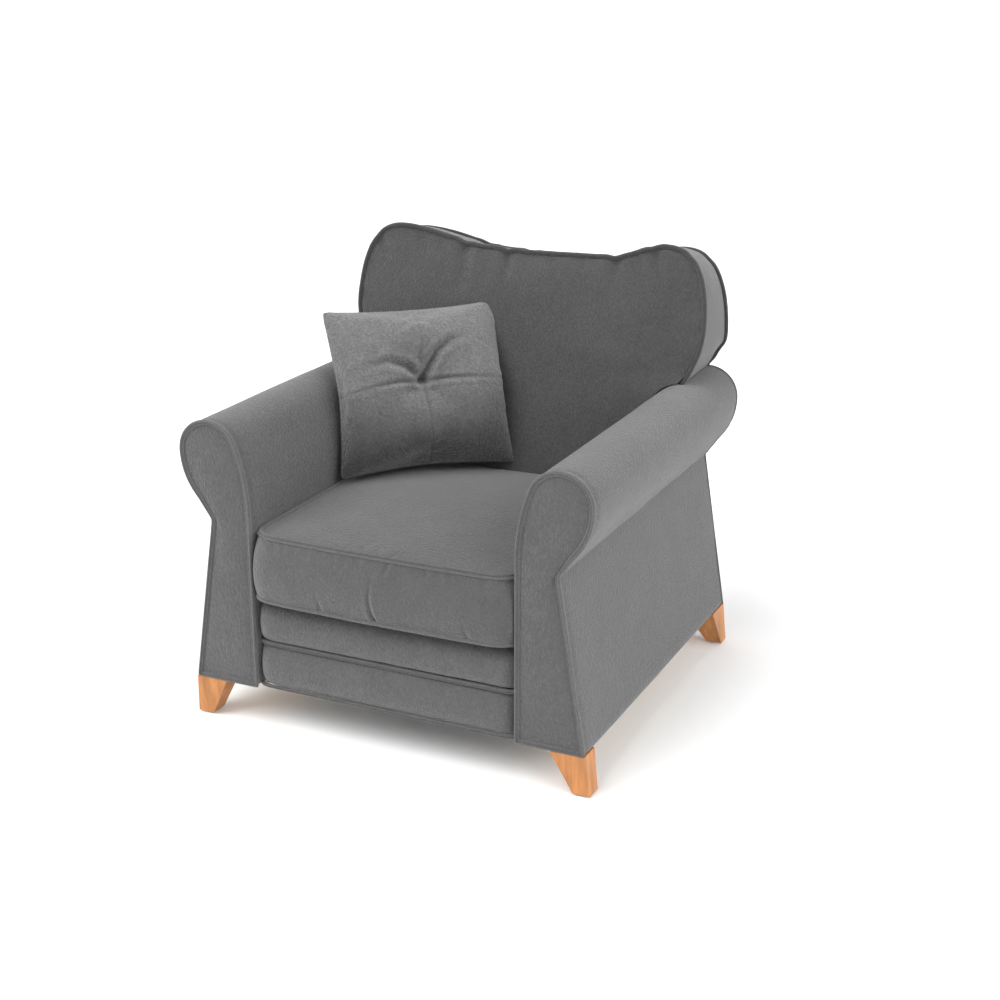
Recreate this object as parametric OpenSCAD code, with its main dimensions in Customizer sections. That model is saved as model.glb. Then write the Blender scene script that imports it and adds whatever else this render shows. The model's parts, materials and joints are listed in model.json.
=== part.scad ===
/* [Overall] */
// Width over the two arm rolls
overall_w = 1000; // [900:10:1100]
// Depth over the arms, from their front facings to their rear ones
overall_d = 940; // [900:10:980]
// Clear width between the inside faces of the arms
inner_w = 650; // [550:10:700]
// Height of the legs, and of the underside of the chair
leg_h = 100; // [80:5:120]

/* [Arms] */
// Radius of the arm roll
roll_r = 75; // [70:1:80]
// Height of the centre of the arm roll
roll_z = 652; // [640:1:664]
// Height at which the inside face starts to curve outwards
lean_z = 520; // [510:1:530]
// Radius of that outward curve
lean_r = 436; // [430:1:450]
// Width of the stitched welt band round an arm facing
welt_w = 12; // [8:1:16]

/* [Back] */
// Height of the ears, without their piping
ear_z = 1036; // [1026:1:1056]
// Height of the top edge at the middle
crown_z = 996; // [986:1:1006]
// Recline of the front of the back, in degrees
back_angle = 12.2; // [10:0.1:14]
// Thickness of the back foam
back_foam_t = 60; // [50:5:70]

/* [Seat cushion] */
// Height of the deck that the seat cushion lies on
deck_z = 318; // [310:1:322]
// Height of the cushion's top seam
seam_z = 476; // [470:1:482]
// Height of the cushion's crown
seat_z = 503; // [495:1:510]
// Gap between the cushion and each arm
seat_gap = 8; // [7:1:12]

/* [Scatter cushion] */
// Width of the filled scatter cushion, corner to corner
scatter_w = 440; // [400:5:445]
// Height of the filled scatter cushion, corner to corner
scatter_h = 405; // [380:5:405]
// Thickness at its fullest
scatter_t = 140; // [110:5:145]

/* [Hidden] */

$fn = 48;
eps = 0.01;
fabric = "dimgray";
light_fabric = "darkgray";
piping_fabric = "slategray";
foam = "khaki";
timber = "burlywood";
plywood = "tan";
leg_timber = "sandybrown";
steel = "silver";
nylon = "gainsboro";
black_cloth = "black";

skin = 2;          // thickness of a fabric cover
pad = 20;          // thickness of the arm padding
wad = 4;           // thickness of the wadding between an arm's boards and its cover
board = 18;        // thickness of plywood
rail = 22;         // thickness of a timber rail
gap = 0.5;         // clearance between neighbouring pieces
pipe = 10;         // width of a piping
pipe_out = 4;      // how far the back's piping stands outside its outline
pipe_in = pipe - pipe_out;
proud = 6;         // how far the seat's and the back's pipings stand past the arm facings
arm_gap = 6;       // clearance between the back and an arm
facing_t = 12;     // depth of an arm's front facing with its welt
rear_facing_t = 6; // thickness of an arm's rear facing
hem_back = 10;     // how far the front border stands behind the facings' front
side_rail_end = 36;  // distance of the side rails' ends from the front and the rear
roll_rail_drop = 60; // how far the roll rail lies below the centre of the roll
front_y = -overall_d / 2;
rear_y = overall_d / 2;
inner_x = inner_w / 2;
roll_x = overall_w / 2 - roll_r;
back_at = [220, 500]; // a point on the back's front plane, in Y and Z

// The inside face leans out on an arc that runs on into the roll without a corner
lean_x = inner_x + lean_r;
lean_a = atan2(roll_z - lean_z, roll_x - lean_x);

// Below the roll the outside face comes in on a larger arc to a pinch, then flares to the base
under_r = 160;
under_x = overall_w / 2 - under_r;
under_a = 42;
pinch = [overall_w / 2 - 76, roll_z - 156];
base_x = overall_w / 2 - 12;
upper_dir = unit(pinch - [under_x + under_r * cos(under_a), roll_z - under_r * sin(under_a)]);
lower_dir = unit([base_x, leg_h] - pinch);

// Legs and their bolts
leg_top_x = [base_x - 80, base_x];
leg_foot_x = [base_x - 30, base_x + 10];
front_leg_top = [0, 58];
front_leg_foot = [12, 57];
rear_leg_top = [overall_d - 85, overall_d];
rear_leg_foot = [overall_d - 36, overall_d];
glide_h = 4;
bolt_r = 4;
bolt_x = base_x - 36;
bolt_front_y = front_y + 42;
bolt_rear_y = rear_y - 36;
thread_gap = 0.1;

// Seat frame and suspension
rail_z0 = leg_h + 8;
rail_z1 = 296;
rear_rail_z1 = rail_z1 - 50;
front_rail_y = front_y + 42;
seat_rear_y = 212;
spring_count = 5;
spring_wire_r = 2;
loop_r = 17.5;
spring_half_w = 18;
spring_z = rail_z1 + spring_wire_r + 1;
spring_bars = 17;
border_z = 209;

// Where the scatter cushion's middle is, how far it turns from facing forwards, and its lean
scatter_at = [-184, 91, 692];
scatter_yaw = 43.2;
scatter_lean = 22.6;

function unit(v) = v / norm(v);
function lerp(a, b, u) = a + (b - a) * u;
function arc(c, r, a0, a1, n) = [for (i = [0 : n]) c + r * [cos(lerp(a0, a1, i / n)), sin(lerp(a0, a1, i / n))]];
function bezier(p, u) = pow(1 - u, 3) * p[0] + 3 * u * pow(1 - u, 2) * p[1]
    + 3 * u * u * (1 - u) * p[2] + pow(u, 3) * p[3];
function bezier_dir(p, u) = unit(pow(1 - u, 2) * (p[1] - p[0]) + 2 * u * (1 - u) * (p[2] - p[1])
    + u * u * (p[3] - p[2]));
function right_of(d) = [d.y, -d.x];
// Points along a curve, moved in by t to the right of its direction
function curve(p, t, n) = [for (i = [0 : n]) bezier(p, i / n) + t * right_of(bezier_dir(p, i / n))];

// Where two lines meet after each has moved in by t: offset of the corner between directions a and b
function corner(a, b, t) = t * (right_of(a) + right_of(b)) / (1 + right_of(a) * right_of(b));
// A point at height z on the flared outside face, moved in by t
function flare_x(z, t) = (pinch + corner(upper_dir, lower_dir, t)).x
    + (z - (pinch + corner(upper_dir, lower_dir, t)).y) * lower_dir.x / lower_dir.y;

// Where two stretches of an outline meet, keeps one point
function joined(p) = [for (i = [0 : len(p) - 1]) if (i == 0 || norm(p[i] - p[max(i - 1, 0)]) > 0.3) p[i]];

// Outline of an arm in the X-Z plane, moved in by t all round except at its base
function arm_outline(t, z0 = leg_h) = joined(concat(
    [[inner_x + t, z0]],
    arc([lean_x, lean_z], lean_r - t, 180, lean_a, 5),
    arc([roll_x, roll_z], roll_r - t, lean_a, 0, 14),
    arc([under_x, roll_z], under_r - t, 0, -under_a, 5),
    [pinch + corner(upper_dir, lower_dir, t)],
    [[flare_x(z0, t), z0]]));

// Right half of the back's outline from the crown down to z0, moved in by t
ear_top = [[215, crown_z + 5], [265, crown_z + 7], [300, ear_z], [355, ear_z]];
ear_side = [ear_top[3], [425, ear_z], [456, ear_z - 67], [460, ear_z - 167]];
ear_tip_a = 97;
ear_foot = [ear_side[3], [463, ear_z - 217], [450, ear_z - 262],
    [roll_x, roll_z] + (roll_r + arm_gap) * [cos(ear_tip_a), sin(ear_tip_a)]];
function half_back(t, z0) = joined(concat(
    [[0, crown_z - t]],
    curve(ear_top, t, 6),
    curve(ear_side, t, 8),
    curve(ear_foot, t, 6),
    arc([roll_x, roll_z], roll_r + arm_gap + t, ear_tip_a + 4, lean_a, 5),
    arc([lean_x, lean_z], lean_r + arm_gap + t, lean_a, 180, 5),
    [[inner_x - arm_gap - t, z0]]));
function mirrored(half) = concat(half, [for (i = [len(half) - 1 : -1 : 1]) [-half[i].x, half[i].y]]);
function back_outline(t, z0) = mirrored(half_back(t, z0));

// The crown and ears seen square to the reclined front: heights run up that plane from back_at
function up_front(p) = [p.x, (p.y - back_at.y) / cos(back_angle)];
function half_crown(t) = joined([for (p = concat(
    [[0, crown_z - t]],
    curve(ear_top, t, 6),
    curve(ear_side, t, 8),
    [[ear_side[3].x - t, 0]])) up_front(p)]);

// Y of the back's reclined front plane at height z
function back_y(z) = back_at.x + (z - back_at.y) * tan(back_angle);

// Draws a shape given in the X-Z plane, from y0 to y1
module slab_y(y0, y1) {
    translate([0, y1, 0])
    rotate([90, 0, 0])
    linear_extrude(y1 - y0)
    children();
}

// Draws a shape given in the Y-Z plane, from x0 to x1
module slab_x(x0, x1) {
    translate([x0, 0, 0])
    rotate([90, 0, 90])
    linear_extrude(x1 - x0)
    children();
}

module block(lo, hi) {
    translate(lo)
    cube(hi - lo);
}

// Left pieces are mirror images of right ones
module side(s) {
    if (s < 0) {
        mirror([1, 0, 0])
        children();
    } else {
        children();
    }
}

module both_sides() {
    for (s = [-1, 1]) {
        side(s)
        children();
    }
}

// A reclined slab that starts d0 behind the back's front plane and ends d1 behind it
module reclined(d0, d1, z0, z1) {
    slab_x(-overall_w / 2, overall_w / 2)
    polygon([[back_y(z0) + d0, z0], [back_y(z0) + d1, z0], [back_y(z1) + d1, z1], [back_y(z1) + d0, z1]]);
}

// Everything between the reclined plane d0 behind the back's front plane and the upright plane at y1
module back_wedge(d0, y1, z0, z1) {
    slab_x(-overall_w / 2, overall_w / 2)
    polygon([[back_y(z0) + d0, z0], [y1, z0], [y1, z1], [back_y(z1) + d0, z1]]);
}

// The back's outline run back level beside the arms, with its crown and ears square to the reclined front
module back_body(t, z0) {
    reach = overall_d / 2;
    intersection() {
        slab_y(0, rear_y + pipe)
        polygon(back_outline(t, z0));
        translate([0, back_at.x, back_at.y])
        rotate([90 - back_angle, 0, 0])
        translate([0, 0, -reach])
        linear_extrude(reach + 3 * pipe)
        polygon(mirrored(half_crown(t)));
    }
}

// A slab across the whole chair from y0 to y1
module across_y(y0, y1) {
    block([-overall_w / 2, y0, 0], [overall_w / 2, y1, ear_z + pipe]);
}

// ---------- Seat frame ----------

module front_rail() {
    color(timber)
    block([-inner_x + gap, front_rail_y, rail_z0], [inner_x - gap, front_rail_y + rail, rail_z1]);
}

module rear_rail() {
    color(timber)
    block([-inner_x + gap, rear_y - board - rail, rail_z0], [inner_x - gap, rear_y - board, rear_rail_z1]);
}

module seat_rear_rail() {
    color(timber)
    block([-inner_x + gap, seat_rear_y, rail_z1 - 60], [inner_x - gap, seat_rear_y + rail, rail_z1]);
}

// The side rails stand just inside the arms' inner covers
module side_rail(s) {
    color(timber)
    side(s)
    block([inner_x + skin + gap, front_y + side_rail_end, rail_z0 + 12],
        [inner_x + skin + gap + rail, rear_y - side_rail_end, rail_z1]);
}

module corner_blocks() {
    leg = 60;
    color(timber)
    both_sides() {
        translate([inner_x - 1.5 * gap, front_rail_y + rail + gap, rail_z0])
        linear_extrude(70)
        polygon([[0, 0], [-leg, 0], [0, leg]]);
        translate([inner_x - 1.5 * gap, seat_rear_y - gap, rail_z1 - 60])
        linear_extrude(40)
        polygon([[0, 0], [-leg / 2, 0], [0, -leg / 2]]);
    }
}

// Zig-zag springs: cross bars joined by half loops on alternate sides
module zigzag_spring() {
    for (i = [0 : spring_bars - 1]) {
        translate([-spring_half_w, 2 * loop_r * i, 0])
        rotate([0, 90, 0])
        cylinder(r = spring_wire_r, h = 2 * spring_half_w, $fn = 16);
    }
    for (i = [0 : spring_bars - 2]) {
        turn = i % 2 == 0 ? -90 : 90;
        translate([(i % 2 == 0 ? 1 : -1) * spring_half_w, 2 * loop_r * (i + 0.5), 0])
        rotate([0, 0, turn])
        rotate_extrude(angle = 180, $fn = 32)
        translate([loop_r, 0])
        circle(r = spring_wire_r, $fn = 16);
    }
}

spring_y = lerp(front_rail_y + rail, seat_rear_y, 0.5) - loop_r * (spring_bars - 1);

module seat_springs() {
    color(steel)
    for (i = [0 : spring_count - 1]) {
        translate([(i - (spring_count - 1) / 2) * 116, spring_y, spring_z])
        zigzag_spring();
    }
}

// Steel clips hold each spring's end bars down on the rails
module spring_clips() {
    clip_w = 16;
    end_y = [spring_y, spring_y + 2 * loop_r * (spring_bars - 1)];
    color(steel)
    for (i = [0 : spring_count - 1]) {
        translate([(i - (spring_count - 1) / 2) * 116 - clip_w / 2, 0, 0]) {
            block([0, end_y[0] - 12, rail_z1 + 5.5], [clip_w, end_y[0] + 6, rail_z1 + 7]);
            block([0, end_y[0] - 14, rail_z1], [clip_w, end_y[0] - 12, rail_z1 + 7]);
            block([0, end_y[1] - 6, rail_z1 + 5.5], [clip_w, end_y[1] + 12, rail_z1 + 7]);
            block([0, end_y[1] + 12, rail_z1], [clip_w, end_y[1] + 14, rail_z1 + 7]);
        }
    }
}

// Padded deck cloth over the springs
module seat_platform() {
    color(black_cloth)
    block([-inner_x + gap, front_rail_y + gap, rail_z1 + 8], [inner_x - gap, seat_rear_y - 34, deck_z - 1]);
}

module dust_cover() {
    color(black_cloth)
    block([-inner_x + gap, front_y + 42, leg_h], [inner_x - gap, rear_y - 8, leg_h + 1.5]);
}

// ---------- Arm frames ----------

module arm_front_board(s) {
    color(plywood)
    side(s)
    slab_y(front_y + facing_t + gap, front_y + facing_t + board)
    polygon(arm_outline(skin + wad, leg_h + 1));
}

module arm_rear_board(s) {
    color(plywood)
    side(s)
    slab_y(rear_y - rear_facing_t - board, rear_y - rear_facing_t)
    polygon(arm_outline(skin + wad, leg_h + 1));
}

inner_front_y = front_y + facing_t + board + gap;
inner_rear_y = rear_y - rear_facing_t - board - gap;
roll_rail_half = [24, 20];

module roll_rail_section() {
    translate([roll_x - roll_rail_half.x, roll_z - roll_rail_drop - roll_rail_half.y])
    square(2 * roll_rail_half);
}

module arm_roll_rails() {
    color(timber)
    both_sides()
    slab_y(inner_front_y, inner_rear_y)
    roll_rail_section();
}

// The base boards carry the legs; each has two holes for the leg nuts
module arm_base_boards() {
    color(timber)
    both_sides()
    difference() {
        block([inner_x + skin + gap, inner_front_y, leg_h], [base_x - 16, inner_rear_y, leg_h + board]);
        for (y = [bolt_front_y, bolt_rear_y]) {
            translate([bolt_x, y, leg_h - eps])
            cylinder(r = bolt_r + 2.2, h = board + 2 * eps);
        }
    }
}

module arm_outer_board(s) {
    z0 = leg_h + board + gap;
    z1 = pinch.y - 12;
    near = skin + wad;
    far = near + 10;
    color(plywood)
    side(s)
    slab_y(inner_front_y, inner_rear_y)
    polygon([[flare_x(z0, near), z0], [flare_x(z1, near), z1], [flare_x(z1, far), z1], [flare_x(z0, far), z0]]);
}

// ---------- Back frame ----------

post_x = [282, 306];
post_y1 = rear_y - 8;
post_top = 962;

module back_post(s) {
    d = skin + back_foam_t + 10;
    color(timber)
    side(s)
    slab_x(post_x[0], post_x[1])
    polygon([[back_y(rear_rail_z1) + d, rear_rail_z1 + gap], [post_y1, rear_rail_z1 + gap],
        [post_y1, post_top], [back_y(post_top) + d, post_top]]);
}

// The top rail follows the crown
module back_top_rail() {
    d = skin + back_foam_t + 10;
    color(timber)
    intersection() {
        back_wedge(d, post_y1, post_top - 40, ear_z);
        back_body(skin + 1, rail_z1);
        block([-post_x[0] + gap, 0, post_top - 30], [post_x[0] - gap, rear_y, ear_z]);
    }
}

module back_lower_rail() {
    z = 352;
    h = 60;
    y = back_y(z + h) + skin + back_foam_t + 6;
    color(timber)
    block([-post_x[0] + gap, y, z], [post_x[0] - gap, y + rail, z + h]);
}

module back_ear_boards() {
    color(plywood)
    both_sides()
    intersection() {
        across_y(post_y1 - board, post_y1);
        back_body(14, rail_z1);
        block([post_x[1] + gap, 0, roll_z + roll_r + 20], [overall_w / 2, rear_y, ear_z]);
    }
}

// Elastic straps: uprights in front, cross straps touching them behind
module back_webbing() {
    strap = 50;
    d = skin + back_foam_t + 2;
    color(black_cloth) {
        for (x = [-200, -100, 0, 100, 200]) {
            intersection() {
                reclined(d, d + 2, 380, 940);
                block([x - strap / 2, 0, 0], [x + strap / 2, rear_y, ear_z]);
            }
        }
        for (z = [480, 600, 720, 840]) {
            intersection() {
                reclined(d + 2, d + 4, z, z + strap);
                block([-post_x[1], 0, 0], [post_x[1], rear_y, ear_z]);
            }
        }
    }
}

// ---------- Legs ----------

// A tapered leg is where its front view and its side view overlap
module leg(top_y, foot_y, bolt_y) {
    color(leg_timber)
    difference() {
        intersection() {
            slab_y(front_y, rear_y)
            polygon([[leg_top_x[0], leg_h], [leg_top_x[1], leg_h], [leg_foot_x[1], glide_h], [leg_foot_x[0], glide_h]]);
            slab_x(0, overall_w)
            polygon([[front_y + top_y[0], leg_h], [front_y + top_y[1], leg_h],
                [front_y + foot_y[1], glide_h], [front_y + foot_y[0], glide_h]]);
        }
        translate([bolt_x, bolt_y, leg_h - 45])
        cylinder(r = bolt_r + thread_gap, h = 50);
    }
}

module front_leg(s) {
    side(s)
    leg(front_leg_top, front_leg_foot, bolt_front_y);
}

module rear_leg(s) {
    side(s)
    leg(rear_leg_top, rear_leg_foot, bolt_rear_y);
}

module at_bolts() {
    both_sides()
    for (y = [bolt_front_y, bolt_rear_y]) {
        translate([bolt_x, y, leg_h])
        children();
    }
}

module leg_bolts() {
    color(steel)
    at_bolts()
    translate([0, 0, -44])
    cylinder(r = bolt_r, h = 44 + board + 8);
}

// A flanged nut sits in each base board, with its flange on top
module tee_nuts() {
    color(steel)
    at_bolts()
    difference() {
        union() {
            cylinder(r = bolt_r + 2, h = board + 0.5);
            translate([0, 0, board])
            cylinder(r = 11, h = 2);
        }
        translate([0, 0, -eps])
        cylinder(r = bolt_r + thread_gap, h = board + 3);
    }
}

// Nylon pads under the feet
module glides() {
    foot_x = (leg_foot_x[0] + leg_foot_x[1]) / 2;
    color(nylon)
    both_sides()
    for (foot = [front_leg_foot, rear_leg_foot]) {
        translate([foot_x, front_y + (foot[0] + foot[1]) / 2, 0]) {
            cylinder(r1 = 13, r2 = 15, h = 1.5);
            translate([0, 0, 1.5])
            cylinder(r = 15, h = glide_h - 1.5);
        }
    }
}

// ---------- Arm upholstery ----------

// Flat foam on the inside face, above the deck
module arm_pad(s) {
    color(foam)
    side(s)
    block([inner_x + skin, inner_front_y, rail_z1 + gap], [inner_x + skin + pad, inner_rear_y, lean_z - gap]);
}

// Foam built up round the roll rail
module arm_roll_foam(s) {
    color(foam)
    side(s)
    slab_y(inner_front_y, inner_rear_y)
    difference() {
        polygon(arm_outline(skin));
        translate([0, leg_h - 1])
        square([overall_w, lean_z - leg_h + 1]);
        offset_rail_hole();
    }
}

module offset_rail_hole() {
    translate([roll_x - roll_rail_half.x - gap, roll_z - roll_rail_drop - roll_rail_half.y - gap])
    square(2 * roll_rail_half + 2 * [gap, gap]);
}

// Fabric round the inside, roll and outside of an arm, open along the base
module arm_cover(s) {
    color(fabric)
    side(s)
    slab_y(front_y + facing_t, rear_y - rear_facing_t)
    difference() {
        polygon(arm_outline(0));
        polygon(arm_outline(skin, leg_h - 1));
    }
}

// The scroll-shaped front panel lies inside its welt
module arm_facing(s) {
    color(fabric)
    side(s)
    slab_y(front_y + 3, front_y + facing_t)
    polygon(arm_outline(welt_w + gap, leg_h + welt_w));
}

module arm_welt(s) {
    color(piping_fabric)
    side(s)
    slab_y(front_y, front_y + facing_t)
    difference() {
        polygon(arm_outline(0));
        polygon(arm_outline(welt_w, leg_h + welt_w - gap));
    }
}

module arm_rear_facings() {
    color(fabric)
    both_sides()
    slab_y(rear_y - rear_facing_t + gap / 2, rear_y)
    polygon(arm_outline(0));
}

// ---------- Front border ----------

// A padded roll between the arms: flat behind, rounded in front
module border_roll(z0, z1, y_front) {
    r = 22;
    color(fabric)
    slab_x(-inner_x + 1, inner_x - 1)
    polygon(concat(
        [[front_rail_y - gap, z0], [y_front + r, z0]],
        arc([y_front + r, z0 + r], r, 270, 180, 5),
        arc([y_front + r, z1 - r], r, 180, 90, 5),
        [[front_rail_y - gap, z1]]));
}

module front_border_lower() {
    border_roll(leg_h, border_z - gap, front_y + hem_back);
}

module front_border_upper() {
    border_roll(border_z, deck_z - 4, front_y + hem_back);
}

// ---------- Back upholstery ----------

back_z0 = deck_z + 6;
back_z1 = ear_z + 10;

// Foam slab in front of the webbing, thickened to fill the ears
module back_foam() {
    color(foam)
    intersection() {
        back_body(pipe_in + gap, back_z0);
        union() {
            reclined(skin, skin + back_foam_t, back_z0, back_z1);
            both_sides()
            intersection() {
                back_wedge(skin, post_y1 - board - gap, back_z0, back_z1);
                block([post_x[1] + gap, 0, roll_z + roll_r], [overall_w / 2, rear_y, back_z1]);
            }
        }
    }
}

module back_front_panel() {
    color(fabric)
    intersection() {
        back_body(pipe_in + gap, back_z0);
        reclined(0, skin - gap, back_z0, back_z1);
    }
}

// The boxed border between the two pipings
module back_border() {
    color(fabric)
    difference() {
        intersection() {
            back_body(0, back_z0);
            back_wedge(pipe_in + gap, rear_y + proud - pipe - gap, back_z0, back_z1);
        }
        back_body(skin, back_z0 - 1);
    }
}

// Where the pipings run: a band along the back's outline
module back_rim(z0) {
    difference() {
        back_body(-pipe_out, z0);
        back_body(pipe_in, z0 - 1);
    }
}

module back_piping_front() {
    color(piping_fabric)
    intersection() {
        back_rim(back_z0);
        reclined(-pipe_out, pipe_in, back_z0, back_z1);
    }
}

module back_piping_rear() {
    color(piping_fabric)
    intersection() {
        back_rim(leg_h + 2);
        across_y(rear_y + proud - pipe, rear_y + proud);
    }
}

module outside_back_panel() {
    color(fabric)
    intersection() {
        back_body(pipe_in + gap, leg_h + 2);
        across_y(rear_y - skin, rear_y);
    }
}

// ---------- Seat cushion ----------

seat_half = inner_x - seat_gap;
seat_r = 60;           // rounding of the front corners
bow = 12;              // how far the front stands out at its middle
bow_half = seat_half - seat_r;
bow_r = (bow_half * bow_half + bow * bow) / (2 * bow);
bow_a = asin(bow_half / bow_r);
crown_r = (seat_half * seat_half + pow(seat_z - seam_z, 2)) / (2 * (seat_z - seam_z));

// Plan of the cushion moved in by t: a bowed front with round corners, and a rear edge at y1
function seat_plan(t, y1) = concat(
    [[-seat_half + t, y1]],
    arc([-bow_half, front_y + bow + seat_r], seat_r - t, 180, 270 - bow_a, 6),
    arc([0, front_y + bow_r], bow_r - t, 270 - bow_a, 270 + bow_a, 12),
    arc([bow_half, front_y + bow + seat_r], seat_r - t, 270 + bow_a, 360, 6),
    [[seat_half - t, y1]]);

// Cushion body moved in by t, with a reclined rear and a crowned top
module seat_form(t) {
    intersection() {
        linear_extrude(2 * seat_z)
        polygon(seat_plan(t, rear_y));
        slab_x(-seat_half, seat_half)
        polygon([[front_y, deck_z + t], [back_y(deck_z) - seat_gap - t, deck_z + t],
            [back_y(seat_z) - seat_gap - t, seat_z], [front_y, seat_z]]);
        translate([0, -overall_d, seat_z - crown_r])
        rotate([-90, 0, 0])
        cylinder(r = crown_r - t, h = 2 * overall_d, $fn = 180);
    }
}

module seat_foam() {
    color(foam)
    seat_form(skin);
}

module seat_cover() {
    color(fabric)
    difference() {
        seat_form(0);
        seat_form(skin);
    }
}

// A piping round the cushion, from height z up
module seat_piping(z) {
    y1 = back_y(z) - seat_gap;
    color(piping_fabric)
    translate([0, 0, z])
    linear_extrude(pipe)
    difference() {
        polygon(seat_plan(-proud, y1));
        polygon(seat_plan(0, y1 + 1));
    }
}

module seat_piping_top() {
    seat_piping(seam_z - pipe / 2);
}

module seat_piping_bottom() {
    seat_piping(deck_z);
}

// The slider and tape of the zip, along the rear of the seam band
module seat_zip() {
    z = (deck_z + seam_z) / 2;
    color(steel)
    intersection() {
        reclined(-seat_gap, -seat_gap + 1.5, z - 5, z + 5);
        block([-200, 0, 0], [200, rear_y, ear_z]);
    }
}

// ---------- Scatter cushion ----------

scatter_half = [scatter_w, scatter_h] / 2;
scatter_grid = 14;     // squares across each face
scatter_skin = 0.8;    // thickness of its fabric
scatter_pull = 0.09;   // how far the sides pull in between the corners
tuft = 0.55;           // how deep the tuft draws in the middle

// Thickness of the cushion at (u, v), both from -1 to 1
function puff(u, v) = pow((1 - u * u) * (1 - v * v), 0.42) * (1 - tuft * exp(-(u * u + v * v) / 0.04));
function pillow_point(u, v, side, t) = [
    (scatter_half.x - t) * u * (1 - scatter_pull * (1 - v * v) * abs(u)),
    (scatter_half.y - t) * v * (1 - scatter_pull * (1 - u * u) * abs(v)),
    side * (scatter_t / 2 - t) * puff(u, v)];
function grid_u(i) = sin(90 * (2 * i / scatter_grid - 1));
// Two triangles for a square, cut along the diagonal that points at the nearest corner of the cushion
function halves(a, b, c, d, rising) = rising ? [[a, b, c], [a, c, d]] : [[a, b, d], [b, c, d]];
function turned(faces) = [for (f = faces) [f[2], f[1], f[0]]];

// Plump square cushion lying in the X-Y plane, moved in by t
module pillow(t) {
    n = scatter_grid + 1;
    points = [for (side = [1, -1]) for (i = [0 : n - 1]) for (j = [0 : n - 1])
        pillow_point(grid_u(i), grid_u(j), side, t)];
    function id(side, i, j) = (i == 0 || j == 0 || i == n - 1 || j == n - 1 ? 0 : side) * n * n + i * n + j;
    function sheet(side) = [for (i = [0 : n - 2]) for (j = [0 : n - 2])
        for (f = halves(id(side, i, j), id(side, i + 1, j), id(side, i + 1, j + 1), id(side, i, j + 1),
            (i < n / 2 - 1) == (j < n / 2 - 1))) f];
    faces = concat(turned(sheet(0)), sheet(1));
    polyhedron(points, faces);
}

// Leans the cushion in the corner of the chair, turned between the left arm and the back
module in_corner() {
    translate(scatter_at)
    rotate([0, 0, scatter_yaw])
    rotate([90 - scatter_lean, 0, 0])
    children();
}

module scatter_filling() {
    color(foam)
    in_corner()
    pillow(skin);
}

// A piece of the cover's fabric on one face, over a stretch of u and of v
module scatter_panel(us, vs, side) {
    nu = len(us);
    nv = len(vs);
    points = [for (t = [0, scatter_skin]) for (u = us) for (v = vs) pillow_point(u, v, side, t)];
    function id(k, i, j) = (k * nu + i) * nv + j;
    function sheet(k) = [for (i = [0 : nu - 2]) for (j = [0 : nv - 2])
        for (f = halves(id(k, i, j), id(k, i + 1, j), id(k, i + 1, j + 1), id(k, i, j + 1),
            (us[i] + us[i + 1] < 0) == (vs[j] + vs[j + 1] < 0))) f];
    u_edges = [for (j = [0 : nv - 2]) for (tri = [
        [id(0, 0, j), id(0, 0, j + 1), id(1, 0, j + 1)],
        [id(0, 0, j), id(1, 0, j + 1), id(1, 0, j)],
        [id(0, nu - 1, j), id(1, nu - 1, j + 1), id(0, nu - 1, j + 1)],
        [id(0, nu - 1, j), id(1, nu - 1, j), id(1, nu - 1, j + 1)]]) tri];
    v_edges = [for (i = [0 : nu - 2]) for (tri = [
        [id(0, i, 0), id(1, i + 1, 0), id(0, i + 1, 0)],
        [id(0, i, 0), id(1, i, 0), id(1, i + 1, 0)],
        [id(0, i, nv - 1), id(0, i + 1, nv - 1), id(1, i + 1, nv - 1)],
        [id(0, i, nv - 1), id(1, i + 1, nv - 1), id(1, i, nv - 1)]]) tri];
    faces = concat(turned(sheet(0)), sheet(1), turned(u_edges), turned(v_edges));
    polyhedron(points, side > 0 ? faces : turned(faces));
}

// Four quarter panels meet in a cross on the front
module scatter_front_panels() {
    seam = 0.002;
    low = [for (i = [0 : scatter_grid / 2]) min(grid_u(i), -seam)];
    high = [for (i = [scatter_grid / 2 : scatter_grid]) max(grid_u(i), seam)];
    color(light_fabric)
    in_corner()
    for (us = [low, high]) {
        for (vs = [low, high]) {
            scatter_panel(us, vs, 1);
        }
    }
}

module scatter_back_panel() {
    all = [for (i = [0 : scatter_grid]) grid_u(i)];
    color(light_fabric)
    in_corner()
    translate([0, 0, -0.3])
    scatter_panel(all, all, -1);
}

// Strong thread that draws the middle of both faces together
module scatter_tie() {
    half = (scatter_t / 2 - skin) * (1 - tuft) - 1;
    color(light_fabric)
    in_corner()
    translate([0, 0, -half])
    cylinder(r = 1.2, h = 2 * half);
}

// Concealed zip in the bottom seam
module scatter_zip() {
    zip_half = scatter_w / 4;
    seam_y = -scatter_half.y * (1 - scatter_pull * 0.7);
    color(nylon)
    in_corner()
    block([-zip_half, seam_y - 4, -1.5], [zip_half, seam_y - 1, 1.5]);
}

front_rail();
rear_rail();
seat_rear_rail();
side_rail(-1);  // side_rail_left
side_rail(1);  // side_rail_right
corner_blocks();
seat_springs();
spring_clips();
seat_platform();
dust_cover();
arm_front_board(-1);  // arm_front_board_left
arm_front_board(1);  // arm_front_board_right
arm_rear_board(-1);  // arm_rear_board_left
arm_rear_board(1);  // arm_rear_board_right
arm_roll_rails();
arm_base_boards();
arm_outer_board(-1);  // arm_outer_board_left
arm_outer_board(1);  // arm_outer_board_right
back_post(-1);  // back_post_left
back_post(1);  // back_post_right
back_top_rail();
back_lower_rail();
back_ear_boards();
back_webbing();
front_leg(-1);  // front_leg_left
front_leg(1);  // front_leg_right
rear_leg(-1);  // rear_leg_left
rear_leg(1);  // rear_leg_right
leg_bolts();
tee_nuts();
glides();
arm_pad(-1);  // arm_pad_left
arm_pad(1);  // arm_pad_right
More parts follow.
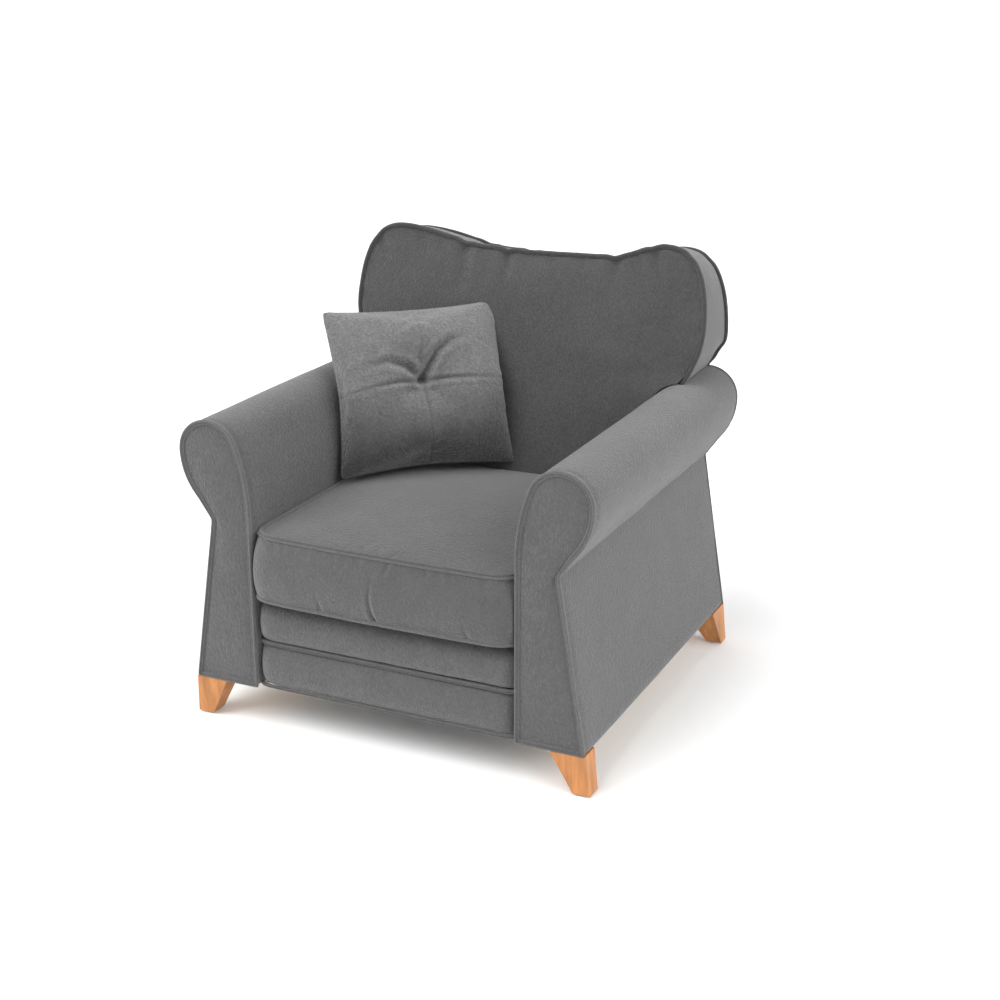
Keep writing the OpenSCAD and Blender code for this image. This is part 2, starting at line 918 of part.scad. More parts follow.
arm_roll_foam(-1);  // arm_roll_foam_left
arm_roll_foam(1);  // arm_roll_foam_right
arm_cover(-1);  // arm_cover_left
arm_cover(1);  // arm_cover_right
arm_facing(-1);  // arm_facing_left
arm_facing(1);  // arm_facing_right
arm_welt(-1);  // arm_welt_left
arm_welt(1);  // arm_welt_right
arm_rear_facings();
front_border_lower();
front_border_upper();
back_foam();
back_front_panel();
back_border();
back_piping_front();
back_piping_rear();
outside_back_panel();
seat_foam();
seat_cover();
seat_piping_top();
seat_piping_bottom();
seat_zip();
scatter_filling();
scatter_front_panels();
scatter_back_panel();
scatter_tie();
scatter_zip();
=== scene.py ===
import json
import math

import bmesh
import bpy
import numpy as np
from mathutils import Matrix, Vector, noise
from mathutils.bvhtree import BVHTree


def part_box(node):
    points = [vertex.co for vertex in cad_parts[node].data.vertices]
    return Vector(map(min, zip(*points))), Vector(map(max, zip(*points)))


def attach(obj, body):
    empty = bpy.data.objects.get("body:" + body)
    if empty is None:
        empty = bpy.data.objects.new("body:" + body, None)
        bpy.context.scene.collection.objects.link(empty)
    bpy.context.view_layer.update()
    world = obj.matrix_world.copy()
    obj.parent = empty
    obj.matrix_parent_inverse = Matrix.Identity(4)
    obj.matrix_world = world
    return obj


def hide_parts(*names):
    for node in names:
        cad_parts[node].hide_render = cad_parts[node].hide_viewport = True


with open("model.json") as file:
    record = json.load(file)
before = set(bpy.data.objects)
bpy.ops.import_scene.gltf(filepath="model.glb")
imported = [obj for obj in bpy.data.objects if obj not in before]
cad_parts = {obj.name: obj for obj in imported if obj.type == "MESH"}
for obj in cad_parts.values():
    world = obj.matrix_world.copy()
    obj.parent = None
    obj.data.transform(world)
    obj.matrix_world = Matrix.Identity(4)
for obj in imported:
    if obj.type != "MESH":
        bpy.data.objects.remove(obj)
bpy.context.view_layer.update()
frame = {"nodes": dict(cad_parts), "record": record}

# ---------- Measures, in metres and degrees ----------

# The right arm's section: an upright foot, a leaning inner face, the roll, and a pinch under it outside
arm_low, arm_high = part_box("arm_cover_right")
INNER_X = arm_low.x
ROLL_OUT = arm_high.x
BASE_Z = arm_low.z
ROLL_R = 0.075
ROLL_X = ROLL_OUT - ROLL_R
ROLL_Z = arm_high.z - ROLL_R
LEAN_Z = 0.520
LEAN_R = 0.436
LEAN_X = INNER_X + LEAN_R
LEAN_A = math.degrees(math.atan2(ROLL_Z - LEAN_Z, ROLL_X - LEAN_X))
UNDER_R = 0.160
UNDER_X = ROLL_OUT - UNDER_R
UNDER_A = 42
PINCH = np.array([ROLL_OUT - 0.076, ROLL_Z - 0.156])
BASE_X = ROLL_OUT - 0.012

FRONT_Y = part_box("arm_welt_right")[0].y
REAR_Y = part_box("arm_rear_facings")[1].y
WELT_W = 0.012

BACK_Z0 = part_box("back_front_panel")[0].z
EAR_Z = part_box("back_piping_front")[1].z - 0.004
CROWN_Z = EAR_Z - 0.040
RECLINE = math.tan(math.radians(12.2))
BACK_MID_Y = 0.220
BACK_REAR = 0.4655
# How far the back stays clear of the arm; below zero, it presses in
ARM_GAP = -0.004
PIPE_R = 0.005

seat_low, seat_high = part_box("seat_cover")
DECK_Z = seat_low.z
SEAM_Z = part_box("seat_piping_top")[0].z + PIPE_R
SEAT_HALF = seat_high.x + 0.003

SCATTER_AT = np.array([-0.184, 0.091, 0.692])
SCATTER_YAW = 43.2
SCATTER_LEAN = 22.6
SCATTER_W = 0.440
SCATTER_H = 0.405

UP = np.array([0.0, 0.0, 1.0])
FORWARD = np.array([0.0, -1.0, 0.0])
BACKWARD = -FORWARD


def back_y(z):
    """Y of the back's reclined front plane at height z."""
    return BACK_MID_Y + (z - 0.5) * RECLINE


# ---------- Materials ----------


def new_material(name):
    """An empty node material and its Principled shader."""
    material = bpy.data.materials.new(name)
    material.use_nodes = True
    shader = material.node_tree.nodes["Principled BSDF"]
    return material, shader


def noise_node(tree, scale, detail, stretch=(1, 1, 1), rough=0.5):
    """Noise over the object's own coordinates, stretched along an axis where its number is below 1."""
    coords = tree.nodes.new("ShaderNodeTexCoord")
    mapping = tree.nodes.new("ShaderNodeMapping")
    mapping.inputs["Scale"].default_value = stretch
    tex = tree.nodes.new("ShaderNodeTexNoise")
    tex.inputs["Scale"].default_value = scale
    tex.inputs["Detail"].default_value = detail
    tex.inputs["Roughness"].default_value = rough
    tree.links.new(coords.outputs["Object"], mapping.inputs["Vector"])
    tree.links.new(mapping.outputs["Vector"], tex.inputs["Vector"])
    return tex.outputs["Fac"]


def spread(tree, value, low, high, from_low=0.25, from_high=0.75):
    """Maps a noise value from its usual middle range to low..high."""
    node = tree.nodes.new("ShaderNodeMapRange")
    node.inputs["From Min"].default_value = from_low
    node.inputs["From Max"].default_value = from_high
    node.inputs["To Min"].default_value = low
    node.inputs["To Max"].default_value = high
    tree.links.new(value, node.inputs["Value"])
    return node.outputs["Result"]


def product(tree, a, b):
    node = tree.nodes.new("ShaderNodeMath")
    node.operation = "MULTIPLY"
    tree.links.new(a, node.inputs[0])
    tree.links.new(b, node.inputs[1])
    return node.outputs["Value"]


def tinted(tree, colour, value):
    """The colour scaled by a value that varies over the surface."""
    node = tree.nodes.new("ShaderNodeVectorMath")
    node.operation = "SCALE"
    node.inputs[0].default_value = colour
    tree.links.new(value, node.inputs["Scale"])
    return node.outputs["Vector"]


def bumped(tree, shader, value, distance, strength=1.0):
    node = tree.nodes.new("ShaderNodeBump")
    node.inputs["Distance"].default_value = distance
    node.inputs["Strength"].default_value = strength
    tree.links.new(value, node.inputs["Height"])
    tree.links.new(node.outputs["Normal"], shader.inputs["Normal"])


def crease_shade_and_rubbed_ridges(tree, low, high):
    """Lighter on ridges that get rubbed, which is wear, and darker in folds and seams, which is painted
    shade.
    """
    geometry = tree.nodes.new("ShaderNodeNewGeometry")
    return spread(tree, geometry.outputs["Pointiness"], low, high, 0.47, 0.53)


def painted_shade_below(tree, low, high, least):
    """A tone that falls from 1 at height high to least at height low: painted shade on the lower part of a
    piece.
    """
    place = tree.nodes.new("ShaderNodeTexCoord")
    split = tree.nodes.new("ShaderNodeSeparateXYZ")
    tree.links.new(place.outputs["Object"], split.inputs[0])
    fade = tree.nodes.new("ShaderNodeMapRange")
    fade.interpolation_type = "SMOOTHSTEP"
    for socket, value in (("From Min", low), ("From Max", high), ("To Min", least), ("To Max", 1.0)):
        fade.inputs[socket].default_value = value
    tree.links.new(split.outputs["Z"], fade.inputs["Value"])
    return fade.outputs["Result"]


def velvet(name, colour, grain=0.10, nap=(1, 1, 0.3), sheen=0.35, size=1.0, crease_shade_and_rubbing=True, below=None):
    """Short-pile upholstery fabric: grain, nap streaks along one axis, soft crushed patches, sheen, lighter
    rubbed ridges with painted shade in folds and seams, and, if asked, painted shade towards the bottom.
    """
    material, shader = new_material(name)
    tree = material.node_tree
    fine = noise_node(tree, 560 / size, 2, nap)
    pile = noise_node(tree, 230 / size, 3, nap)
    crushed = noise_node(tree, 60 / size, 3, nap)
    patches = noise_node(tree, 9, 3, (1, 1, 0.6))
    tone = product(tree, spread(tree, fine, 1 - grain, 1 + grain), spread(tree, pile, 1 - grain, 1 + grain))
    tone = product(tree, tone, spread(tree, crushed, 1 - 0.35 * grain, 1 + 0.35 * grain))
    tone = product(tree, tone, spread(tree, patches, 0.93, 1.07))
    # Painted shade darkens folds and seams, and rubbed ridges are lighter
    if crease_shade_and_rubbing:
        tone = product(tree, tone, crease_shade_and_rubbed_ridges(tree, 0.72, 1.22))
    # Painted shade: the colour darkens towards the bottom
    if below:
        tone = product(tree, tone, painted_shade_below(tree, *below))
    tree.links.new(tinted(tree, colour, tone), shader.inputs["Base Color"])
    tree.links.new(spread(tree, pile, 0.82, 0.98), shader.inputs["Roughness"])
    bumped(tree, shader, product(tree, fine, pile), 0.0050 * size, 1.0)
    shader.inputs["Sheen Weight"].default_value = sheen
    shader.inputs["Sheen Roughness"].default_value = 0.45
    shader.inputs["Specular IOR Level"].default_value = 0.15
    return material


def wood(name, colour, ring=0.16, scale=34, gloss=0.45, along=(1, 1, 0.07)):
    """Timber with long grain, pores and a little blotch."""
    material, shader = new_material(name)
    tree = material.node_tree
    rings = noise_node(tree, scale, 4, along, 0.6)
    pores = noise_node(tree, scale * 14, 2, along)
    blotch = noise_node(tree, 7, 2)
    tone = product(tree, spread(tree, rings, 1 - ring, 1 + ring), spread(tree, pores, 0.95, 1.04))
    tone = product(tree, tone, spread(tree, blotch, 0.93, 1.07))
    tree.links.new(tinted(tree, colour, tone), shader.inputs["Base Color"])
    tree.links.new(spread(tree, pores, gloss - 0.08, gloss + 0.10), shader.inputs["Roughness"])
    bumped(tree, shader, pores, 0.0002, 0.6)
    return material


def plain_grain(name, colour, scale, amount, roughness, metallic=0.0, stretch=(1, 1, 1), depth=0.0003):
    """A surface with one kind of grain, for the pieces inside and underneath."""
    material, shader = new_material(name)
    tree = material.node_tree
    grain = noise_node(tree, scale, 3, stretch)
    blotch = noise_node(tree, scale / 12, 2)
    tone = product(tree, spread(tree, grain, 1 - amount, 1 + amount), spread(tree, blotch, 0.93, 1.07))
    tree.links.new(tinted(tree, colour, tone), shader.inputs["Base Color"])
    tree.links.new(spread(tree, grain, roughness - 0.08, roughness + 0.08), shader.inputs["Roughness"])
    shader.inputs["Metallic"].default_value = metallic
    bumped(tree, shader, grain, depth, 0.7)
    return material


def woven(name, colour, pitch, roughness=0.85):
    """Plain weave: two crossed waves give the threads, and noise makes them uneven."""
    material, shader = new_material(name)
    tree = material.node_tree
    coords = tree.nodes.new("ShaderNodeTexCoord")
    threads = []
    for axis in ("X", "Y"):
        wave = tree.nodes.new("ShaderNodeTexWave")
        wave.bands_direction = axis
        wave.inputs["Scale"].default_value = 0.314 / pitch
        wave.inputs["Distortion"].default_value = 0.6
        tree.links.new(coords.outputs["Object"], wave.inputs["Vector"])
        threads.append(wave.outputs["Fac"])
    weave = product(tree, *threads)
    uneven = noise_node(tree, 90, 3)
    tone = product(tree, spread(tree, weave, 0.7, 1.15, 0, 1), spread(tree, uneven, 0.9, 1.1))
    tree.links.new(tinted(tree, colour, tone), shader.inputs["Base Color"])
    bumped(tree, shader, weave, 0.0004, 0.8)
    shader.inputs["Roughness"].default_value = roughness
    return material


GREY = (0.079, 0.079, 0.080)
SIDE = velvet("velvet_upright", GREY, 0.20, (1, 1, 0.5))
ARM = velvet("velvet_arm", (0.080, 0.080, 0.081), 0.19, (1, 0.7, 0.8))
BACK = velvet("velvet_back", (0.056, 0.056, 0.057), 0.21, (1, 1, 0.7))
SEAT = velvet("velvet_seat", (0.075, 0.075, 0.076), 0.16, (1, 0.7, 0.7))
WELT = velvet("velvet_welt", (0.078, 0.078, 0.079), 0.18, (1, 1, 1), 0.3, 0.8)
PIPING = velvet("velvet_piping", (0.038, 0.038, 0.039), 0.20, (1, 1, 1), 0.25, 0.8)
# The scatter cushion's colour carries painted shade, darkening below 0.76 m to 0.38 of its tone at 0.545 m
SCATTER = velvet("velvet_scatter", (0.124, 0.124, 0.125), 0.28, (1, 1, 1), 0.4, 1.45,
                 below=(0.545, 0.760, 0.38))
SEAM = velvet("velvet_seam", (0.062, 0.062, 0.063), 0.12, (1, 1, 1), 0.2, 0.8, crease_shade_and_rubbing=False)
THREAD = plain_grain("sewing_thread", (0.10, 0.10, 0.105), 900, 0.2, 0.6)
LEG_WOOD = wood("beech", (0.40, 0.163, 0.047), 0.38, 60)
FRAME_WOOD = wood("softwood", (0.60, 0.43, 0.25), 0.22, 20, 0.75, (1, 0.08, 1))
PLY = wood("birch_plywood", (0.62, 0.47, 0.30), 0.12, 46, 0.7, (0.3, 1, 0.1))
FOAM = plain_grain("foam", (0.78, 0.70, 0.48), 500, 0.12, 0.95, depth=0.001)
FIBRE = plain_grain("fibre_filling", (0.82, 0.82, 0.80), 160, 0.08, 0.95, depth=0.001)
LINING = woven("lining_cloth", (0.022, 0.022, 0.024), 0.0012)
WEBBING = woven("webbing", (0.09, 0.075, 0.06), 0.003)
STEEL = plain_grain("zinc_plated_steel", (0.55, 0.55, 0.56), 240, 0.12, 0.38, 1.0, (1, 0.2, 1), 0.0001)
NYLON = plain_grain("moulded_nylon", (0.62, 0.61, 0.58), 400, 0.04, 0.5)
ZIP = plain_grain("zip", (0.05, 0.05, 0.055), 700, 0.2, 0.5, stretch=(3, 1, 1))

SLOT_MATERIAL = {
    "velvet": SIDE, "piping_velvet": PIPING, "scatter_velvet": SCATTER, "leg_timber": LEG_WOOD,
    "frame_timber": FRAME_WOOD, "plywood": PLY, "foam": FOAM, "fibre_filling": FIBRE,
    "lining_cloth": LINING, "webbing": WEBBING, "steel": STEEL, "zip_metal": ZIP, "nylon": NYLON,
}


def dress_frame():
    """Gives every CAD node the material of its slot, and the legs slightly rounded edges."""
    for row in frame["record"]["subparts"]:
        node = frame["nodes"][row["node"]]
        node.data.materials.clear()
        node.data.materials.append(SLOT_MATERIAL[row["material_slot"]])
        if row["material_slot"] in ("leg_timber", "nylon"):
            bevel = node.modifiers.new("eased_edges", "BEVEL")
            bevel.width = 0.0018
            bevel.segments = 3
            bevel.limit_method = "ANGLE"
            bevel.angle_limit = math.radians(25)


# ---------- Curves and meshes ----------


def arc(cx, cz, r, a0, a1, n):
    angle = np.radians(np.linspace(a0, a1, n + 1))
    return np.c_[cx + r * np.cos(angle), cz + r * np.sin(angle)]


def bezier(p, n):
    u = np.linspace(0, 1, n + 1)[:, None]
    p = np.asarray(p, float)
    return (1 - u) ** 3 * p[0] + 3 * u * (1 - u) ** 2 * p[1] + 3 * u * u * (1 - u) * p[2] + u**3 * p[3]


def resample(points, n):
    """n equal steps along a line through points."""
    points = np.asarray(points, float)
    step = np.linalg.norm(np.diff(points, axis=0), axis=1)
    along = np.r_[0, np.cumsum(step)]
    at = np.linspace(0, along[-1], n + 1)
    return np.stack([np.interp(at, along, points[:, k]) for k in range(points.shape[1])], axis=1)


def unit(v):
    return v / np.maximum(np.linalg.norm(v, axis=-1, keepdims=True), 1e-12)


def loop_of(sides):
    """One closed loop from sides that run on end to end."""
    return np.concatenate([side[:-1] for side in sides])


def loop_tangent(loop):
    return unit(np.roll(loop, -1, axis=0) - np.roll(loop, 1, axis=0))


def patch(bottom, right, top, left):
    """Grid of points inside four edges. bottom and top run the same way, and so do left and right."""
    u = np.linspace(0, 1, len(bottom))[None, :, None]
    v = np.linspace(0, 1, len(left))[:, None, None]
    across = (1 - v) * bottom[None] + v * top[None]
    along = (1 - u) * left[:, None] + u * right[:, None]
    corners = ((1 - u) * (1 - v) * bottom[0] + u * (1 - v) * bottom[-1]
               + (1 - u) * v * top[0] + u * v * top[-1])
    return across + along - corners


class Shell:
    """Gathers grids of points into one mesh, welding the points that they share."""

    def __init__(self):
        self.points = []
        self.faces = []
        self.found = {}

    def point(self, p):
        key = (round(p[0] * 2e4), round(p[1] * 2e4), round(p[2] * 2e4))
        if key not in self.found:
            self.found[key] = len(self.points)
            self.points.append((float(p[0]), float(p[1]), float(p[2])))
        return self.found[key]

    def grid(self, rows, flip=False, wrap=False, wrap_rows=False):
        """Adds a sheet. wrap joins each row's end to its start, wrap_rows the last row to the first."""
        ids = np.array([[self.point(p) for p in row] for row in rows])
        m, n = ids.shape
        for i in range(m if wrap_rows else m - 1):
            for j in range(n if wrap else n - 1):
                a, b = ids[i, j], ids[i, (j + 1) % n]
                c, d = ids[(i + 1) % m, (j + 1) % n], ids[(i + 1) % m, j]
                face = [a, b, c, d]
                face = [v for k, v in enumerate(face) if v != face[k - 1]]
                if len(set(face)) >= 3:
                    self.faces.append(face[::-1] if flip else face)
        return ids

    def build(self, name, material):
        return new_object(name, self.points, self.faces, material)


def add_object(name, data):
    """An object in the scene for mesh, light or camera data."""
    obj = bpy.data.objects.new(name, data)
    bpy.context.scene.collection.objects.link(obj)
    return obj


def new_object(name, points, faces, material):
    mesh = bpy.data.meshes.new(name)
    mesh.from_pydata([tuple(map(float, p)) for p in points], [], [list(map(int, f)) for f in faces])
    mesh.validate()
    mesh.polygons.foreach_set("use_smooth", [True] * len(mesh.polygons))
    mesh.update()
    mesh.materials.append(material)
    return add_object(name, mesh)


def coords(obj):
    co = np.zeros(len(obj.data.vertices) * 3)
    obj.data.vertices.foreach_get("co", co)
    return co.reshape(-1, 3)


def normals(obj):
    no = np.zeros(len(obj.data.vertices) * 3)
    obj.data.vertices.foreach_get("normal", no)
    return no.reshape(-1, 3)


def set_coords(obj, co):
    obj.data.vertices.foreach_set("co", np.asarray(co, float).ravel())
    obj.data.update()


def push(obj, amount):
    """Moves each point along its normal."""
    set_coords(obj, coords(obj) + normals(obj) * np.asarray(amount)[:, None])


def refine(obj, levels=1):
    """Subdivides the mesh for good. The first points of the new mesh are the old ones."""
    modifier = obj.modifiers.new("refine", "SUBSURF")
    modifier.levels = levels
    modifier.render_levels = levels
    modifier.boundary_smooth = "PRESERVE_CORNERS"
    apply_modifiers(obj)


def apply_modifiers(obj):
    graph = bpy.context.evaluated_depsgraph_get()
    mesh = bpy.data.meshes.new_from_object(obj.evaluated_get(graph))
    old = obj.data
    obj.modifiers.clear()
    obj.data = mesh
    bpy.data.meshes.remove(old)


def waves(co, size, seed=0.0):
    """Smooth noise from -1 to 1 whose features are about size across."""
    shift = Vector((seed * 7.3, seed * 3.1, seed * 5.7))
    return np.array([noise.noise(Vector(p) / size + shift) for p in co])


def relaxed(grid, rounds=40, share=1.0):
    """Evens out a grid: each round moves its inner values by a share of the way to their neighbours' mean."""
    grid = grid.copy()
    for _ in range(rounds):
        mean = (grid[:-2, 1:-1] + grid[2:, 1:-1] + grid[1:-1, :-2] + grid[1:-1, 2:]) / 4
        grid[1:-1, 1:-1] = share * mean + (1 - share) * grid[1:-1, 1:-1]
    return grid


def nearest_on(co, path):
    """Distance from each point to a line through path's points, and how far along it that is, 0 to 1."""
    path = np.asarray(path, float)
    best = np.full(len(co), 1e9)
    along = np.zeros(len(co))
    lengths = np.linalg.norm(np.diff(path, axis=0), axis=1)
    start = np.r_[0, np.cumsum(lengths)]
    for k, length in enumerate(lengths):
        d = (path[k + 1] - path[k]) / max(length, 1e-9)
        s = np.clip((co - path[k]) @ d, 0, length)
        gap = np.linalg.norm(co - path[k] - s[:, None] * d, axis=1)
        closer = gap < best
        best[closer] = gap[closer]
        along[closer] = (start[k] + s[closer]) / start[-1]
    return best, along


def crease(co, path, depth, width, start=1.0, end=0.0):
    """How far a crease along path moves each point: in along the line, and out in a low ridge beside it."""
    distance, along = nearest_on(co, path)
    strength = start + (end - start) * along
    return depth * strength * (0.30 * np.exp(-(((distance - 2.1 * width) / width) ** 2))
                               - np.exp(-((distance / width) ** 2)))


def sweep(name, path, outward, profile, material, closed=False):
    """A strip of constant section along path. profile holds (sideways, outward) steps, going round it."""
    path = np.asarray(path, float)
    if closed:
        tangent = loop_tangent(path)
    else:
        tangent = unit(np.gradient(path, axis=0))
    out = unit(outward - (outward * tangent).sum(1)[:, None] * tangent)
    side = np.cross(tangent, out)
    shell = Shell()
    rows = [[p + a * s + b * o for a, b in profile] for p, s, o in zip(path, side, out)]
    ids = shell.grid(rows, wrap=True, wrap_rows=closed)
    if not closed:
        for ring, flip in ((ids[0], False), (ids[-1], True)):
            middle = shell.point(np.mean([shell.points[i] for i in ring], axis=0))
            for k in range(len(ring)):
                face = [ring[k], ring[(k + 1) % len(ring)], middle]
                shell.faces.append(face[::-1] if not flip else face)
    obj = shell.build(name, material)
    fix_normals(obj)
    return obj


def fix_normals(obj):
    """Makes the faces' directions agree with one another."""
    bm = bmesh.new()
    bm.from_mesh(obj.data)
    bmesh.ops.recalc_face_normals(bm, faces=bm.faces)
    bm.to_mesh(obj.data)
    bm.free()


def turn_to(obj, direction):
    """Turns a sheet over if its normals point away from direction."""
    if (normals(obj) @ direction).mean() < 0:
        obj.data.flip_normals()
        obj.data.update()


def sheet(name, rows, material, facing=None, **joins):
    """A mesh from one grid of points, turned to facing if that is given."""
    shell = Shell()
    shell.grid(rows, **joins)
    obj = shell.build(name, material)
    if facing is None:
        fix_normals(obj)
    else:
        turn_to(obj, facing)
    return obj


def draped(xs, ys, height):
    """Rows of points over xs and ys, each as high as a function of x and y says."""
    return [[(x, y, height(x, y)) for x in xs] for y in ys]


def repeated(direction, points):
    """The same direction once for each point."""
    return np.repeat(direction[None], len(points), 0)


def ruffle(co, *layers):
    """Smooth unevenness at each point. A layer has its height, the size of its features and a seed."""
    return sum(height * waves(co, size, seed) for height, size, seed in layers)


def round_profile(radius, sides=12):
    angle = np.arange(sides) / sides * 2 * math.pi
    return np.c_[radius * np.cos(angle), radius * np.sin(angle)]


def flat_profile(half_width, height, lip=0.0006):
    """A flat sewn-down band: raised at its two stitched edges, a little lower between."""
    w, h = half_width, height
    left = [(-w, -0.001), (-w * 1.02, h * 0.4), (-w * 0.88, h), (-w * 0.6, h + lip), (-w * 0.2, h * 0.86)]
    return np.array(left + [(-x, y) for x, y in left[::-1]])


def stitches(name, path, outward, body="root", slot="piping_velvet", material=THREAD, closed=False,
             pitch=0.0055, length=0.0036, radius=0.0004):
    """A row of short raised stitches along path, riding on a body."""
    path = np.asarray(path, float)
    outward = np.asarray(outward, float)
    if closed:
        path = np.r_[path, path[:1]]
        outward = np.r_[outward, outward[:1]]
    total = np.linalg.norm(np.diff(path, axis=0), axis=1).sum()
    count = int(total / pitch)
    fine = resample(np.c_[path, outward], count * 2)
    centre, out = fine[1::2, :3], unit(fine[1::2, 3:])
    along = unit(fine[2::2, :3] - fine[:-1:2, :3])
    side = np.cross(along, out)
    rings = ((-0.5, 0.35, -0.5), (-0.28, 1.0, 0.5), (0.28, 1.0, 0.5), (0.5, 0.35, -0.5))
    points, faces = [], []
    for c, o, a, s in zip(centre, out, along, side):
        base = len(points)
        for at, wide, rise in rings:
            for k in range(5):
                turn = 2 * math.pi * k / 5
                points.append(c + a * at * length + o * radius * rise
                              + (s * math.cos(turn) + o * math.sin(turn)) * radius * wide)
        for i in range(3):
            for k in range(5):
                n = (k + 1) % 5
                faces.append([base + 5 * i + k, base + 5 * i + n, base + 5 * i + 5 + n, base + 5 * i + 5 + k])
        faces.append([base + k for k in range(4, -1, -1)])
        faces.append([base + 15 + k for k in range(5)])
    obj = new_object(name, points, faces, material)
    fix_normals(obj)
    finish_piece(obj, body, slot)


def inflate(obj, held, pressure=4.0, cap=0.02, frames=20, stiffness=15.0, bending=0.5):
    """Blows the fabric up as cloth. held is 1 where a seam or the frame holds it, 0 where it is free.

    No point moves further than cap, which is one number or one for each point.
    """
    scene = bpy.context.scene
    before = coords(obj)
    group = obj.vertex_groups.new(name="held")
    for index, weight in enumerate(held):
        if weight > 0:
            group.add([index], float(weight), "REPLACE")
    modifier = obj.modifiers.new("cloth", "CLOTH")
    cloth = modifier.settings
    cloth.quality = 6
    cloth.mass = 0.3
    cloth.tension_stiffness = stiffness
    cloth.compression_stiffness = stiffness
    cloth.shear_stiffness = stiffness / 2
    cloth.bending_stiffness = bending
    cloth.use_pressure = True
    cloth.uniform_pressure_force = pressure
    cloth.vertex_group_mass = "held"
    cloth.effector_weights.gravity = 0
    modifier.collision_settings.use_collision = False
    modifier.point_cache.frame_start = 1
    modifier.point_cache.frame_end = frames
    for number in range(1, frames + 1):
        scene.frame_set(number)
    evaluated = obj.evaluated_get(bpy.context.evaluated_depsgraph_get())
    after = np.zeros(len(before) * 3)
    evaluated.data.vertices.foreach_get("co", after)
    obj.modifiers.remove(modifier)
    obj.vertex_groups.remove(group)
    scene.frame_set(1)
    move = after.reshape(-1, 3) - before
    size = np.linalg.norm(move, axis=1)
    limit = np.broadcast_to(cap, size.shape)
    # Eases towards the cap and never passes it
    eased = limit * np.tanh(size / np.maximum(limit, 1e-9))
    set_coords(obj, before + move * (eased / np.maximum(size, 1e-9))[:, None])


def finish_piece(obj, body, slot, *nodes, fill=None):
    """Rides the piece on its body and hides the CAD nodes that it stands for. slot is not used."""
    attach(obj, body)
    if nodes:
        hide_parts(*nodes)


# ---------- Arms ----------

# Steps along the arm's inner face, its roll, and the hollow under the roll
LEFT_N, ROLL_N, UNDER_N = 44, 38, 26
OUTER_N = LEFT_N - UNDER_N
# Length of the arm cover, in the measure that its stations are given in
COVER_RUN = 0.934


def arm_sides(inset):
    """The right arm's outline in X and Z, drawn in by inset.

    It has four sides, clockwise from the inner foot: the inner face, the roll's top, the outer face
    with the pinch under the roll, and the bottom. Opposite sides have equal counts.
    """
    lean = arc(LEAN_X, LEAN_Z, LEAN_R - inset, 180, LEAN_A, 40)
    inner = np.r_[[[INNER_X + inset, BASE_Z + inset]], lean]
    corner = 30
    inner_roll = arc(ROLL_X, ROLL_Z, ROLL_R - inset, LEAN_A, 180 - corner, 12)
    left = resample(np.r_[inner, inner_roll[1:]], LEFT_N)
    top = arc(ROLL_X, ROLL_Z, ROLL_R - inset, 180 - corner, 0, ROLL_N)
    pinch = PINCH + np.array([-inset * 0.9, 0.0])
    under = arc(UNDER_X, ROLL_Z, UNDER_R - inset, 0, -UNDER_A, 40)
    under = np.r_[under, pinch[None]]
    outer = np.array([pinch, (BASE_X - inset, BASE_Z + inset)])
    right = np.r_[resample(under, UNDER_N), resample(outer, OUTER_N)[1:]]
    bottom = resample([(BASE_X - inset, BASE_Z + inset), (INNER_X + inset, BASE_Z + inset)], ROLL_N)
    return left, top, right, bottom


def at_y(points, y, side):
    """Puts X-Z points at depth y. side is 1 for the right arm and -1 for the left."""
    return np.c_[points[:, 0] * side, np.full(len(points), y), points[:, 1]]


def arm_cover(side, label):
    """The fabric that wraps the arm from front to back, dipping where it is pulled to the welt."""
    stations = np.r_[0, 0.003, 0.007, 0.012, 0.018, 0.026, 0.038, np.linspace(0.06, 0.90, 44),
                     0.912, 0.922, 0.930, COVER_RUN]
    start = FRONT_Y + 0.0075
    rows = []
    for s in stations:
        y = start + s * (REAR_Y - 0.0024 - start) / COVER_RUN
        near = min(s, COVER_RUN - s)
        dip = 0.0026 * math.exp(-(((near - 0.010) / 0.0085) ** 2)) * (0.5 if s > 0.5 else 1.0)
        rows.append(at_y(loop_of(arm_sides(0.0006 + dip)), y, side))
    obj = sheet(f"arm_cover_{label}_skin", rows, ARM, flip=side > 0, wrap=True)
    co = coords(obj)
    soft = ruffle(co, (0.0013, 0.17, 1 + side), (0.0006, 0.06, 2 + side))
    mirror = np.array([side, 1, 1])
    x, z = PINCH
    # The pulled fold under the roll, strongest at the front and dying away behind
    fold = [(x, FRONT_Y, z), (x + 0.001, -0.20, z + 0.004), (x + 0.001, 0.10, z + 0.002), (x, REAR_Y, z)]
    soft += crease(co, fold * mirror, 0.0035, 0.007, 1.2, 0.6)
    y = FRONT_Y + 0.006
    for tilt, reach, deep in ((0.030, 0.085, 0.0045), (-0.022, 0.06, 0.0030), (0.062, 0.05, 0.002)):
        fold = [(x + 0.006, y, z + tilt * 0.15), (x + 0.012, y + reach * 0.5, z + tilt * 0.6),
                (x + 0.014, y + reach, z + tilt)]
        soft += crease(co, fold * mirror, deep, 0.0055, 1.0, 0.0)
    push(obj, soft)
    refine(obj)
    inside = (f"arm_cover_{label}", f"arm_pad_{label}", f"arm_roll_foam_{label}")
    finish_piece(obj, "root", "velvet", *inside, fill=0.55)


